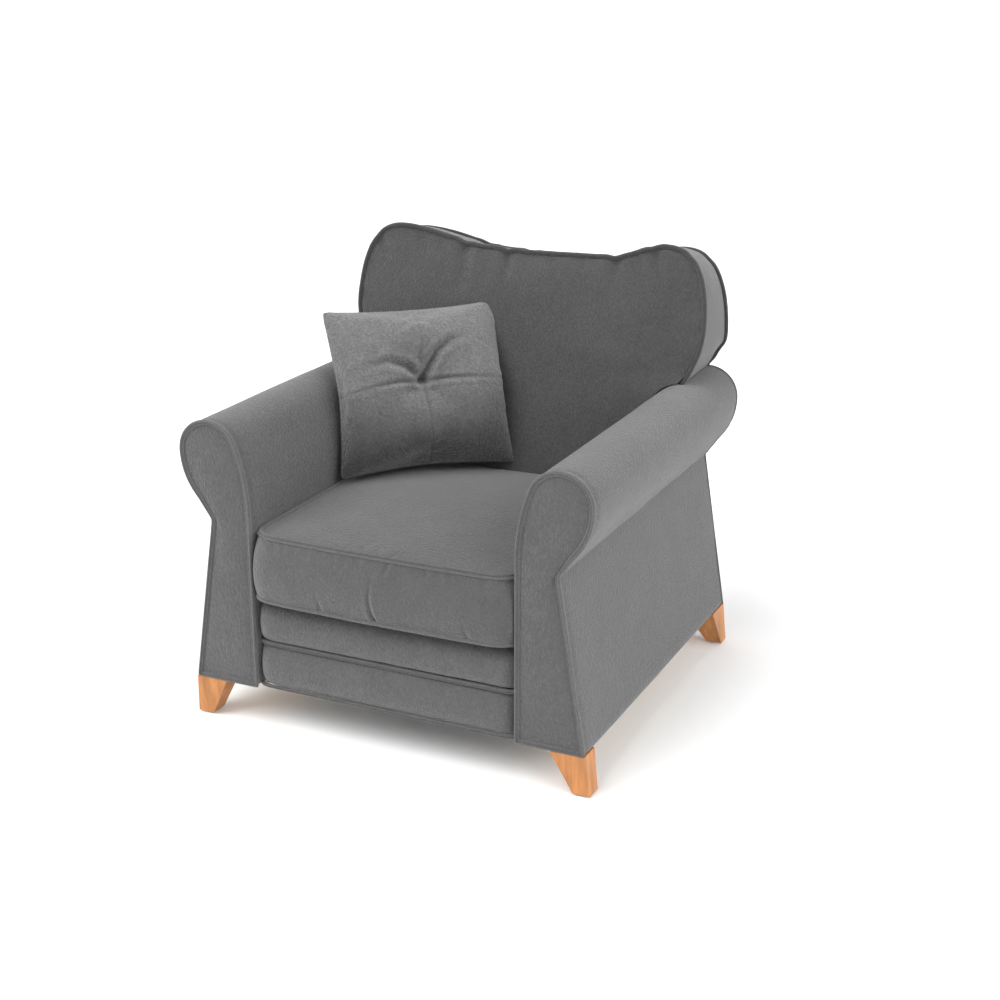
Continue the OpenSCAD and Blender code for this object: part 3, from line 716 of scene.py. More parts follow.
def arm_facing(side, label, front):
    """The flat panel on the arm's end, with a little wadding behind the front one."""
    y = FRONT_Y + 0.0060 if front else REAR_Y - 0.0024
    left, top, right, bottom = (at_y(s, y, side) for s in arm_sides(WELT_W if front else 0.0007))
    kind = "facing" if front else "rear_facing"
    obj = sheet(f"arm_{kind}_{label}_skin", patch(left, top, right[::-1], bottom[::-1]), SIDE)
    if front:
        inflate(obj, edge_mask(obj), pressure=3.0, cap=0.0085, stiffness=20)
        co = coords(obj)
        if co[:, 1].mean() > y:
            co[:, 1] = 2 * y - co[:, 1]
            set_coords(obj, co)
    turn_to(obj, FORWARD if front else BACKWARD)
    push(obj, ruffle(coords(obj), (0.0006, 0.12, 4 + side)) * (0.4 if front else 1.0))
    refine(obj)
    if front:
        finish_piece(obj, "root", "velvet", f"arm_facing_{label}", fill=0.4)
    else:
        # One CAD node holds both rear facings
        finish_piece(obj, "root", "velvet", *(("arm_rear_facings",) if side > 0 else ()))


def edge_mask(obj):
    """1 for points on the open edges of a mesh and 0 elsewhere."""
    count = np.zeros(len(obj.data.edges))
    for polygon in obj.data.polygons:
        for key in polygon.loop_indices:
            count[obj.data.loops[key].edge_index] += 1
    mask = np.zeros(len(obj.data.vertices))
    for edge in obj.data.edges:
        if count[edge.index] < 2:
            mask[list(edge.vertices)] = 1
    return mask


def arm_welt(side, label):
    """The raised lip round the arm's front: a flat band with a ridge at its outer edge."""
    # How far each line of the lip lies inside the arm's outline, and how far behind its front
    lips = ((WELT_W + 0.0030, 0.0115), (WELT_W + 0.0008, 0.0080), (WELT_W - 0.0004, 0.0030),
            (WELT_W - 0.0022, 0.0004), (0.0072, 0.0008), (0.0052, 0.0002), (0.0030, -0.0016),
            (0.0008, -0.0016), (-0.0010, 0.0006), (-0.0014, 0.0036), (-0.0002, 0.0066),
            (0.0022, 0.0090), (0.0060, 0.0115))
    rows = [at_y(loop_of(arm_sides(inset)), FRONT_Y + 0.0016 + depth, side) for inset, depth in lips]
    obj = sheet(f"arm_welt_{label}_skin", rows, WELT, wrap=True, wrap_rows=True)
    push(obj, ruffle(coords(obj), (0.0003, 0.02, 6 + side)))
    refine(obj)
    finish_piece(obj, "root", "velvet", f"arm_welt_{label}")
    path = at_y(loop_of(arm_sides(0.0088)), FRONT_Y + 0.0021, side)
    stitches(f"arm_welt_{label}_stitches", path, repeated(FORWARD, path), closed=True)


def arms():
    for side, label in ((1, "right"), (-1, "left")):
        arm_cover(side, label)
        arm_welt(side, label)
        arm_facing(side, label, True)
        arm_facing(side, label, False)
        # A thin cord where the cover meets the rear facing
        path = at_y(loop_of(arm_sides(0.0008)), REAR_Y - 0.0030, side)
        out = unit(path - path.mean(axis=0))
        seam = sweep(f"arm_rear_seam_{label}", path, out, round_profile(0.0015, 8), SEAM, True)
        finish_piece(seam, "root", "velvet")


# ---------- Front border ----------


BORDER_Y = FRONT_Y + 0.0035
# How far the border's rolls curve back at their seams, and the length of their rounded ends
ROLL_DEPTH, ROLL_END = 0.038, 0.042


def border_roll(name, z_low, z_high, cad, seed):
    """One horizontal roll across the front, its two ends turned back to the arms."""
    half, middle = INNER_X - 0.0012, (z_low + z_high) / 2
    # The section is a flattened half round, from its top seam to its bottom one
    angle = np.radians(np.linspace(90, -90, 23))
    behind = ROLL_DEPTH * (1 - np.abs(np.cos(angle)) ** 0.80)
    above = (z_high - z_low) / 2 * np.copysign(np.abs(np.sin(angle)) ** 0.97, np.sin(angle))
    turn = half - ROLL_END * (1 - np.cos(np.linspace(0.18, math.pi / 2, 8)))
    level = np.linspace(-half + ROLL_END, half - ROLL_END, 92)[1:-1]
    rows = []
    for x in np.r_[-half, -turn, level, turn[::-1], half]:
        near = min(1.0, (half - abs(x)) / ROLL_END)
        bend = math.sqrt(max(0.0, 1 - (1 - near) ** 2))
        rows.append(np.c_[np.full(len(angle), x),
                          BORDER_Y + behind * (0.30 + 0.70 * bend) + (1 - bend) * 0.029,
                          middle + above * (0.84 + 0.16 * bend)])
    obj = sheet(name, rows, SIDE)
    turn_to(obj, FORWARD)
    push(obj, ruffle(coords(obj), (0.0026, 0.16, seed), (0.0009, 0.05, seed + 3)) * 0.8)
    refine(obj)
    finish_piece(obj, "root", "velvet", cad, fill=0.45)


def border():
    """The two rolls under the seat cushion, the flat seam between them and the hem below."""
    low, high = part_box("front_border_lower")
    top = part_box("front_border_upper")[1].z
    seam = high.z + 0.0003
    border_roll("front_border_lower_skin", low.z + 0.0015, seam - 0.0015, "front_border_lower", 11)
    border_roll("front_border_upper_skin", seam + 0.0015, top - 0.009, "front_border_upper", 12)
    xs = np.linspace(-INNER_X + 0.001, INNER_X - 0.001, 60)
    zs = np.linspace(low.z - 0.0015, top - 0.001, 24)
    rows = [[(x, low.y + 0.0290, z) for x in xs] for z in zs]
    backing = sheet("front_border_backing", rows, SIDE, FORWARD)
    push(backing, ruffle(coords(backing), (0.0008, 0.05, 15)))
    finish_piece(backing, "root", "velvet")
    half = INNER_X - 0.0006
    xs = np.linspace(-half, half, 90)
    ends = (np.maximum(0, np.abs(xs) - half + 0.03) / 0.03) ** 2
    for name, z, width, set_back in (("front_border_welt", seam, 0.0050, 0.0205),
                                     ("front_border_hem", low.z + 0.0040, 0.0036, 0.0160)):
        path = np.c_[xs, BORDER_Y + set_back + 0.010 * ends, np.full(len(xs), z)]
        out = repeated(FORWARD, path)
        band = sweep(name, path, out, flat_profile(width, 0.0075), WELT)
        refine(band)
        finish_piece(band, "root", "velvet")
        for side, shift in (("upper", 0.62), ("lower", -0.62)):
            stitches(f"{name}_stitches_{side}", path + np.array([0, -0.0078, width * shift]), out)


# ---------- Seat cushion ----------

SEAT_FRONT = seat_low.y
SEAT_REAR = seat_high.y
SEAT_BOW = 0.010
SEAT_R = 0.062
FRONT_N, SIDE_N, BOX_N = 60, 64, 14


def seat_sides(inset, rear):
    """The cushion's plan as four sides: front, right, rear and left, running round anticlockwise."""
    half, r, corner_n, cut = SEAT_HALF - 0.003 - inset, SEAT_R, 12, 6
    xs = np.linspace(-(half - r), half - r, 60)
    line = np.c_[xs, SEAT_FRONT + inset + SEAT_BOW * (np.abs(xs) / half) ** 2.2]
    corner_y = line[-1, 1] + r
    right_corner = arc(half - r, corner_y, r, -78, 0, corner_n)
    left_corner = arc(-(half - r), corner_y, r, 180, 258, corner_n)
    front = resample(np.r_[left_corner[cut:], line, right_corner[:cut + 1]], FRONT_N)
    right = resample(np.r_[right_corner[cut:], [[half, rear]]], SIDE_N)
    back = resample([[half, rear], [-half, rear]], FRONT_N)
    left = resample(np.r_[[[-half, rear]], left_corner[:cut + 1]], SIDE_N)
    return front, right, back, left


def at_z(points, z):
    return np.c_[points, np.full(len(points), z)]


def crowned(rows, height, power=2.6):
    """Raises the middle of a panel: full height inside, falling to nothing at the edges."""
    rows = rows.copy()
    m, n = rows.shape[:2]
    v = np.abs(np.linspace(-1, 1, m))[:, None]
    u = np.abs(np.linspace(-1, 1, n))[None, :]
    rows[..., 2] += height * (1 - v**power) * (1 - u**power)
    return rows


def seat():
    """The seat cushion: a crowned skin between two sewn seams, then the seams and the zip."""
    bottom_z = DECK_Z + 0.006
    top = [at_z(s, SEAM_Z) for s in seat_sides(-0.006, SEAT_REAR - 0.012)]
    bottom = [at_z(s, bottom_z) for s in seat_sides(-0.015, SEAT_REAR - 0.044)]
    for side in top + bottom:
        side[:, 0] = np.clip(side[:, 0], -SEAT_HALF, SEAT_HALF)
    shell = Shell()
    shell.grid(crowned(patch(top[0], top[1], top[2][::-1], top[3][::-1]), 0.019))
    shell.grid(patch(bottom[0], bottom[1], bottom[2][::-1], bottom[3][::-1]), flip=True)
    top_loop, bottom_loop = loop_of(top), loop_of(bottom)
    outward = np.cross(loop_tangent(top_loop), UP)
    rows = []
    for s in np.arange(BOX_N + 1) / BOX_N:
        ring = top_loop * (1 - s) + bottom_loop * s
        # The walls bulge most in front and hardly at all between the arms
        bulge = 0.004 + 0.013 * np.clip((-0.30 - ring[:, 1]) / 0.14, 0, 1)
        rows.append(ring + outward * (bulge * math.sin(math.pi * s) ** 0.8)[:, None])
    rings = shell.grid(rows, wrap=True)
    obj = shell.build("seat_cushion_skin", SEAT)
    fix_normals(obj)
    held = np.zeros(len(shell.points))
    held[rings[[0, -1]]] = 1
    inflate(obj, held, pressure=5.0, cap=0.014)
    refine(obj)
    co = coords(obj)
    # The seams stay where they are sewn
    seam_near = np.minimum(np.abs(co[:, 2] - SEAM_Z), np.abs(co[:, 2] - bottom_z))
    soft = seat_creases(co) * (0.35 + 0.65 * np.clip(seam_near / 0.010, 0, 1))
    soft[:len(held)][held > 0] = 0
    push(obj, soft)
    co = coords(obj)
    # The walls meet the arms softly, and the bottom stays on the deck
    limit, give = INNER_X - 0.0018, 0.004
    over = np.maximum(np.abs(co[:, 0]) - (limit - give), 0)
    co[:, 0] -= np.sign(co[:, 0]) * (over - give * np.tanh(over / (2 * give)))
    co[:, 2] = np.maximum(co[:, 2], DECK_Z + 0.0008)
    set_coords(obj, co)
    refine(obj)
    finish_piece(obj, "seat_cushion", "velvet", "seat_cover", "seat_foam", fill=0.6)
    co = coords(obj)
    seat_top_seam(co[rings[0]])
    seat_bottom_seam(co[rings[-1]])
    zip_teeth(*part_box("seat_zip"))


def seat_creases(co):
    """How far each point of the seat's skin moves out: soft unevenness, gathers and creases."""
    soft = ruffle(co, (0.0030, 0.21, 3), (0.0012, 0.07, 4))
    # Fine gathers that run off the top seam on the front
    face = np.clip((-0.42 - co[:, 1]) / 0.03, 0, 1)
    gather = 0.0016 * np.sin(co[:, 0] * 150 + 9 * waves(co, 0.25, 8))
    gather *= np.exp(-(((co[:, 2] - SEAM_Z) / 0.030) ** 2))
    soft += gather * face * (0.4 + 0.6 * waves(co, 0.12, 9))
    # Creases on the front are measured in one plane, however far the skin bulges
    y = SEAT_FRONT - 0.014
    flat = co.copy()
    flat[:, 1] = np.where(co[:, 1] < SEAT_FRONT + 0.012, y, co[:, 1])
    main = ((-0.006, 0.440), (-0.009, 0.410), (-0.010, 0.380), (-0.006, 0.348), (0.004, 0.320))
    second = ((-0.146, 0.385), (-0.141, 0.350), (-0.136, 0.322))
    third = ((0.212, 0.380), (0.218, 0.350), (0.226, 0.324))
    for line, depth, width, end in ((main, 0.0062, 0.0038, 1.6), (second, 0.0034, 0.0040, 1.4),
                                    (third, 0.0028, 0.0044, 1.3)):
        soft += crease(flat, [(x, y, z) for x, z in line], depth, width, 0.0, end)
    pucker = [(0.022, y, 0.440), (0.029, y, 0.466), (0.032, SEAT_FRONT + 0.006, 0.480),
              (0.040, SEAT_FRONT + 0.045, 0.496)]
    soft += crease(co, pucker, 0.0055, 0.0050, 0.5, 0.5)
    # Short puckers below and above the top seam
    for x, reach in ((-0.235, 0.035), (-0.105, 0.028), (0.120, 0.034), (0.176, 0.026), (0.255, 0.036)):
        soft += crease(flat, [(x, y, 0.470), (x + 0.006, y, 0.470 - reach)], 0.0016, 0.006)
        soft += crease(co, [(x, SEAT_FRONT, 0.481), (x + 0.004, SEAT_FRONT + reach, 0.492)], 0.0020, 0.006)
    return soft


def seat_top_seam(loop):
    """The flat welt on the cushion's top edge, with a row of stitches on each side of it."""
    loop[:, 2] = 0.6 * loop[:, 2] + 0.4 * SEAM_Z
    out = unit(np.cross(loop_tangent(loop), UP) + 0.75 * UP)
    band = sweep("seat_top_welt", loop - out * 0.0032, out, flat_profile(0.0060, 0.0090), WELT, True)
    refine(band)
    finish_piece(band, "seat_cushion", "velvet", "seat_piping_top")
    side = np.cross(loop_tangent(loop), out)
    for name, shift in (("upper", 0.0040), ("lower", -0.0040)):
        line = loop + side * shift + out * 0.0052
        stitches(f"seat_top_welt_stitches_{name}", line, out, "seat_cushion", closed=True)


def seat_bottom_seam(loop):
    """The piping round the cushion's bottom edge."""
    out = unit(np.cross(loop_tangent(loop), UP) - 0.12 * UP)
    loop[:, 2] = np.maximum(loop[:, 2], DECK_Z + 0.0058)
    path = loop + out * np.array([0.35, 1, 1]) * 0.0022
    cord = sweep("seat_bottom_piping", path, out, round_profile(0.0050), WELT, True)
    push(cord, ruffle(coords(cord), (0.0004, 0.018, 21)))
    refine(cord)
    finish_piece(cord, "seat_cushion", "piping_velvet", "seat_piping_bottom")


def zip_teeth(low, high):
    """A zip in the cushion's rear wall: its tape and two rows of teeth."""
    xs = np.linspace(low.x, high.x, 60)
    path = np.c_[xs, np.full(60, high.y + 0.010), np.full(60, (low.z + high.z) / 2)]
    out = repeated(BACKWARD, path)
    section = [(-0.011, 0.0002), (-0.006, 0.0012), (0.0, 0.0005), (0.006, 0.0012), (0.011, 0.0002),
               (0.006, -0.002), (-0.006, -0.002)]
    finish_piece(sweep("seat_zip_tape", path, out, section, ZIP), "seat_cushion", "zip_metal", "seat_zip")
    for side, shift in (("upper", 0.0014), ("lower", -0.0014)):
        stitches(f"seat_zip_teeth_{side}", path + np.array([0, 0.0012, shift]), out, "seat_cushion",
                 "zip_metal", ZIP, pitch=0.0030, length=0.0016, radius=0.0011)


# ---------- Back ----------

BACK_BOTTOM_N, BACK_SIDE_N, BORDER_N = 64, 84, 12
# Where the top seam is nipped in: X and Z of each nip, its depth and its half width, in metres
NIPS = ((-0.060, 0.997, 0.0044, 0.011), (-0.177, 1.010, 0.0042, 0.012), (-0.413, 0.995, 0.0030, 0.012),
        (0.225, 1.003, 0.0036, 0.012), (0.319, 1.030, 0.0050, 0.010), (0.405, 1.010, 0.0022, 0.010))
# Folds that run down from the top seam: X and Z of both ends, the depth and the half width, in metres
CROWN_FOLDS = (
    ((-0.060, 0.993), (-0.071, 0.880), 0.0036, 0.014), ((-0.177, 0.997), (-0.190, 0.870), 0.0036, 0.015),
    ((0.225, 0.999), (0.207, 0.880), 0.0034, 0.015), ((0.319, 1.023), (0.333, 0.950), 0.0036, 0.012),
    ((-0.413, 0.990), (-0.385, 0.940), 0.0024, 0.012), ((-0.300, 1.022), (-0.292, 0.960), 0.0016, 0.012),
    ((0.060, 0.993), (0.066, 0.930), 0.0014, 0.013), ((0.140, 0.995), (0.131, 0.940), 0.0014, 0.012),
    ((0.455, 0.860), (0.405, 0.842), 0.0020, 0.012), ((-0.455, 0.860), (-0.405, 0.842), 0.0020, 0.012))


def back_half(wide):
    """Half of the back's outline, from the middle of the top round to the foot, in X and Z.

    wide moves the ear's inner shoulder towards the middle; the two ears differ a little.
    """
    r = ROLL_R + ARM_GAP
    start = np.array([ROLL_X + r * math.cos(math.radians(97)), ROLL_Z + r * math.sin(math.radians(97))])
    level = resample([(0, CROWN_Z), (0.215 - wide, CROWN_Z + 0.005)], 12)
    rise = bezier([level[-1], (0.265 - wide, CROWN_Z + 0.007 + 0.05 * wide), (0.300 - 0.3 * wide, EAR_Z),
                   (0.355, EAR_Z)], 24)
    ear = bezier([(0.355, EAR_Z), (0.425, EAR_Z), (0.456, 0.969), (0.460, 0.869)], 30)
    under = bezier([(0.460, 0.869), (0.463, 0.819), (0.450, 0.774), start], 16)
    hug = arc(ROLL_X, ROLL_Z, r, 101, LEAN_A, 8)
    lean = arc(LEAN_X, LEAN_Z, LEAN_R + ARM_GAP, LEAN_A, 180, 16)
    foot = [(INNER_X - ARM_GAP, BACK_Z0)]
    return np.r_[level, rise[1:], ear[1:], under[1:], hug, lean, foot]


def back_sides(foot_z):
    """The back's outline as its foot, right, top and left sides. Opposite sides run the same way."""
    corner = 12 + 24 + 14
    sides, tops = [], []
    for wide, sign in ((0.0, 1), (0.075, -1)):
        half = back_half(wide) * np.array([sign, 1])
        half[-1, 1] = foot_z
        tops.append(half[:corner + 1])
        sides.append(resample(half[corner:][::-1], BACK_SIDE_N))
    top = resample(np.r_[tops[1][::-1], tops[0][1:]], BACK_BOTTOM_N * 2)
    foot = resample([sides[1][0], sides[0][0]], BACK_BOTTOM_N * 2)
    return foot, sides[0], top, sides[1]


def nipped(points, amount=1.0):
    """Pulls the outline in at each nip, with a slight swelling on both sides of it."""
    points = points.copy()
    for x, z, depth, width in NIPS:
        d = np.linalg.norm(points - np.array([x, z]), axis=1)
        inward = unit(np.array([0.0, 0.72]) - points)
        shape = np.exp(-((d / width) ** 2)) - 0.30 * np.exp(-(((d - 2.3 * width) / width) ** 2))
        points += inward * (depth * amount * shape)[:, None]
    return points


def on_back(points, lift=0.0):
    """Puts X-Z points on the back's reclined front plane."""
    return np.stack([points[..., 0], back_y(points[..., 1]) + lift, points[..., 1]], axis=-1)


def falling(z):
    """How much of the back runs square to its reclined front: 1 at the ears and crown, 0 beside the arms."""
    s = np.clip((z - 0.760) / 0.090, 0, 1)
    return s * s * (3 - 2 * s)


def lowered(points):
    """The back's outline as it is at the rear, where its top has come down."""
    drop = (BACK_REAR - back_y(points[..., 1])) * RECLINE * falling(points[..., 1])
    return np.stack([points[..., 0], points[..., 1] - drop], axis=-1)


def back_outline(foot_z, nip=1.0, at_rear=False):
    """The back's outline in X and Z: a grid of points that fills it, and a loop round it."""
    foot, *others = back_sides(foot_z)
    right, top, left = (nipped(side, nip) for side in others)
    top[0], top[-1] = left[-1], right[-1]
    if at_rear:
        right, top, left = lowered(right), lowered(top), lowered(left)
    loop = np.concatenate([foot[:-1], right[:-1], top[:0:-1], left[:0:-1]])
    return relaxed(patch(foot, right, top, left)), loop


def out_of(loop):
    """Unit directions in X and Z that point out of the loop."""
    tangent = loop_tangent(loop)
    return unit(np.stack([tangent[:, 1], -tangent[:, 0]], axis=1))


def back():
    """The back's front and border in one skin, with the piping between them."""
    rows, loop = back_outline(BACK_Z0)
    shell = Shell()
    front_ids = shell.grid(on_back(rows))
    front_y, falls, normal = back_y(loop[:, 1]), falling(loop[:, 1]), out_of(loop)
    upper = np.clip((loop[:, 1] - 0.70) / 0.05, 0, 1)
    rings = []
    for s in np.arange(BORDER_N + 1) / BORDER_N:
        run = (BACK_REAR - front_y) * s
        swell = 0.005 * math.sin(math.pi * s) ** 0.8 * upper + 0.0022 * (1 - upper)
        ring = loop + normal * swell[:, None]
        rings.append(np.c_[ring[:, 0], front_y + run, ring[:, 1] - run * RECLINE * falls])
    border_ids = shell.grid(rings, wrap=True)
    obj = shell.build("back_skin", BACK)
    fix_normals(obj)
    obj.data.materials.append(SIDE)
    border_points = set(border_ids.ravel().tolist())
    for polygon in obj.data.polygons:
        if border_points.issuperset(polygon.vertices):
            polygon.material_index = 1
    rest = coords(obj)
    on_border = np.zeros(len(rest), bool)
    on_border[list(border_points)] = True
    # The fabric may puff out less on the border and behind the seat cushion
    cap = np.where(on_border, 0.006, 0.030)
    cap[(np.abs(rest[:, 0]) < 0.33) & (rest[:, 2] < 0.42)] = 0.010
    # It is held at the seams, and pulled tight beside the arms
    held = np.zeros(len(rest))
    held[border_ids[[0, -1]]] = 1
    held[on_border & (rest[:, 2] < 0.72)] = 1
    inflate(obj, held, pressure=4.0, cap=cap)
    co = coords(obj)
    move = relaxed((co - rest)[front_ids], 30, 0.5)
    co[front_ids.ravel()] = (rest[front_ids] + move).reshape(-1, 3)
    set_coords(obj, co)
    co = coords(obj)
    soft = ruffle(co, (0.0034, 0.24, 5), (0.0014, 0.08, 6))
    for start, end, depth, width in CROWN_FOLDS:
        ends = np.linspace(start, end, 5)
        bow = 0.006 * np.sin(np.linspace(0, math.pi, 5))
        path = [(x + b, back_y(z) - 0.004 - 0.016 * k / 4, z) for k, ((x, z), b) in enumerate(zip(ends, bow))]
        soft += crease(co, path, depth, width, 1.15, 0.0)
    soft[:len(held)][held > 0] = 0
    push(obj, soft)
    finish_piece(obj, "root", "velvet", "back_front_panel", "back_foam", "back_border", fill=0.6)
    reclined = unit(np.array([0.0, -1.0, RECLINE]))
    out = unit(np.c_[normal[:, 0], np.zeros(len(normal)), normal[:, 1]] + 0.55 * reclined)
    path = coords(obj)[border_ids[0]] + out * 0.0030
    piping("back_piping_front_cord", path, out, 31, "back_piping_front")


def outside_back():
    """The panel that closes the back's rear, and the piping round it."""
    plane = BACK_REAR + 0.0010
    rows, loop = back_outline(0.102, 0.8, at_rear=True)
    points = np.stack([rows[..., 0], np.full(rows.shape[:2], plane), rows[..., 1]], axis=-1)
    obj = sheet("outside_back_skin", points, SIDE, BACKWARD)
    held = edge_mask(obj)
    inflate(obj, held, pressure=2.5, cap=0.006, stiffness=25)
    co = coords(obj)
    co[:, 1] = plane + np.abs(co[:, 1] - plane)
    set_coords(obj, co)
    push(obj, ruffle(co, (0.0012, 0.20, 7), (0.0004, 0.06, 8)) * (1 - held))
    refine(obj)
    finish_piece(obj, "root", "velvet", "outside_back_panel", fill=0.3)
    normal = out_of(loop)
    path = np.c_[loop[:, 0], np.full(len(loop), BACK_REAR + 0.0045), loop[:, 1]]
    out = unit(np.c_[normal[:, 0], np.full(len(normal), 0.35), normal[:, 1]])
    # The cord sinks in beside the arms and stands out above them
    lift = np.where(loop[:, 1] < 0.74, -0.0015, 0.0020)
    piping("back_piping_rear_cord", path + out * lift[:, None], out, 32, "back_piping_rear")


def piping(name, path, out, seed, *nodes):
    """Covered cord along a seam, its fabric slightly uneven."""
    path = resample(np.r_[path, path[:1]], 620)[:-1]
    out = resample(np.r_[out, out[:1]], 620)[:-1]
    path = path + out * (0.0004 * waves(path, 0.05, seed))[:, None]
    obj = sweep(name, path, out, round_profile(PIPE_R * 1.15), PIPING, True)
    push(obj, ruffle(coords(obj), (0.00035, 0.012, seed + 1)))
    refine(obj)
    finish_piece(obj, "root", "piping_velvet", *nodes)


# ---------- Scatter cushion ----------

SCATTER_N = 48
SCATTER_THICK = 0.140
SCATTER_PULL = 0.062


def scatter_frame():
    """Turns the scatter cushion's own coordinates, with Z out of its front, to the chair's."""
    yaw, tilt = math.radians(SCATTER_YAW), math.radians(90 - SCATTER_LEAN)
    rz = np.array([[math.cos(yaw), -math.sin(yaw), 0], [math.sin(yaw), math.cos(yaw), 0], [0, 0, 1]])
    rx = np.array([[1, 0, 0], [0, math.cos(tilt), -math.sin(tilt)], [0, math.sin(tilt), math.cos(tilt)]])
    return rz @ rx


def fitted(co, ids, u):
    """Lays the blown-up cushion's seam on the outline it is seen to have, and sets its thickness."""
    co = co.copy()
    edge = ids["front"]
    for axis, size in ((0, SCATTER_W), (1, SCATTER_H)):
        before = co[:, axis].copy()
        for k, at in enumerate(u):
            line = {face: (ids[face][k] if axis == 0 else ids[face][:, k]) for face in ids}
            reach = abs(before[line["front"][0]] - before[line["front"][-1]]) / 2
            want = size / 2 * (1 - SCATTER_PULL * (1 - at**2) ** 1.2)
            for face in ids:
                inner = line[face] if face == "front" else line[face][1:-1]
                co[inner, axis] = before[inner] * want / reach
    rim = np.concatenate([edge[0], edge[-1], edge[:, 0], edge[:, -1]])
    co[:, 2] -= co[rim, 2].mean()
    co[:, 2] *= SCATTER_THICK / (co[:, 2].max() - co[:, 2].min())
    co[:, 2] -= (co[:, 2].max() + co[:, 2].min()) / 2
    return co


def evened(co, ids):
    """Averages the blown-up cushion with its mirror images, so that only its main form stays."""
    co = co.copy()
    for face in ids:
        grid = co[ids[face]]
        x, y, z = np.abs(grid[..., 0]), np.abs(grid[..., 1]), relaxed(grid[..., 2], 14, 0.7)
        x, y, z = ((a + a[::-1] + a[:, ::-1] + a[::-1, ::-1]) / 4 for a in (x, y, z))
        signs = np.sign(np.linspace(-1, 1, len(z)))
        co[ids[face].ravel()] = np.stack([x * signs[None, :], y * signs[:, None], z], axis=-1).reshape(-1, 3)
    return co


def tuft_raised(x, y):
    """Where height y of the scatter cushion ends up.

    The tuft sits above the cushion's middle, and the seam across falls away to the left.
    """
    across, up = 2 * x / SCATTER_W, 2 * y / SCATTER_H
    held = np.clip(1 - up**2, 0, 1)
    return y + held * (0.013 * np.clip(1 - across**2, 0, 1) - 0.016 * np.clip(-across, 0, 1) ** 2)


def rim_of(grid):
    """The ids round a grid's edge, in order."""
    return np.concatenate([grid[0], grid[1:, -1], grid[-1, ::-1][1:], grid[::-1, 0][1:-1]])


def scatter_shell():
    """The scatter cushion blown up flat on its back, and its two faces' grids of ids."""
    flat_w, flat_h = 0.470, 0.435
    u = np.linspace(-1, 1, SCATTER_N + 1)
    uu, vv = np.meshgrid(u, u)
    rise = (1 - uu**2) * (1 - vv**2)
    sink = np.exp(-((uu**2 + vv**2) / 0.03))
    pinch_x = 1 - 0.05 * (1 - vv**2) * np.abs(uu) ** 3
    pinch_y = 1 - 0.05 * (1 - uu**2) * np.abs(vv) ** 3
    shell = Shell()
    ids = {}
    for face, sign in (("front", 1), ("back", -1)):
        height = 0.030 * rise**0.6
        if face == "front":
            height = height * (1 - 0.75 * sink)
        rows = np.stack([uu * flat_w / 2 * pinch_x, vv * flat_h / 2 * pinch_y, sign * height], axis=-1)
        ids[face] = shell.grid(rows, flip=sign < 0)
    obj = shell.build("scatter_cushion_skin", SCATTER)
    fix_normals(obj)
    # The tuft holds the middle of the front down
    middle = SCATTER_N // 2
    tuft = ids["front"][middle - 1:middle + 2, middle - 1:middle + 2].ravel()
    co = coords(obj)
    held = np.zeros(len(co))
    held[tuft] = 1
    co[tuft, 2] = 0.016
    set_coords(obj, co)
    inflate(obj, held, pressure=5.0, cap=0.075, frames=26, stiffness=22, bending=0.25)
    co = evened(fitted(coords(obj), ids, u), ids)
    low_down = np.clip(-co[:, 1] / (SCATTER_H / 2), -1, 1)
    co[:, 2] *= np.where(co[:, 2] > 0, 1 + 0.20 * low_down, 1)
    set_coords(obj, co)
    return obj, ids


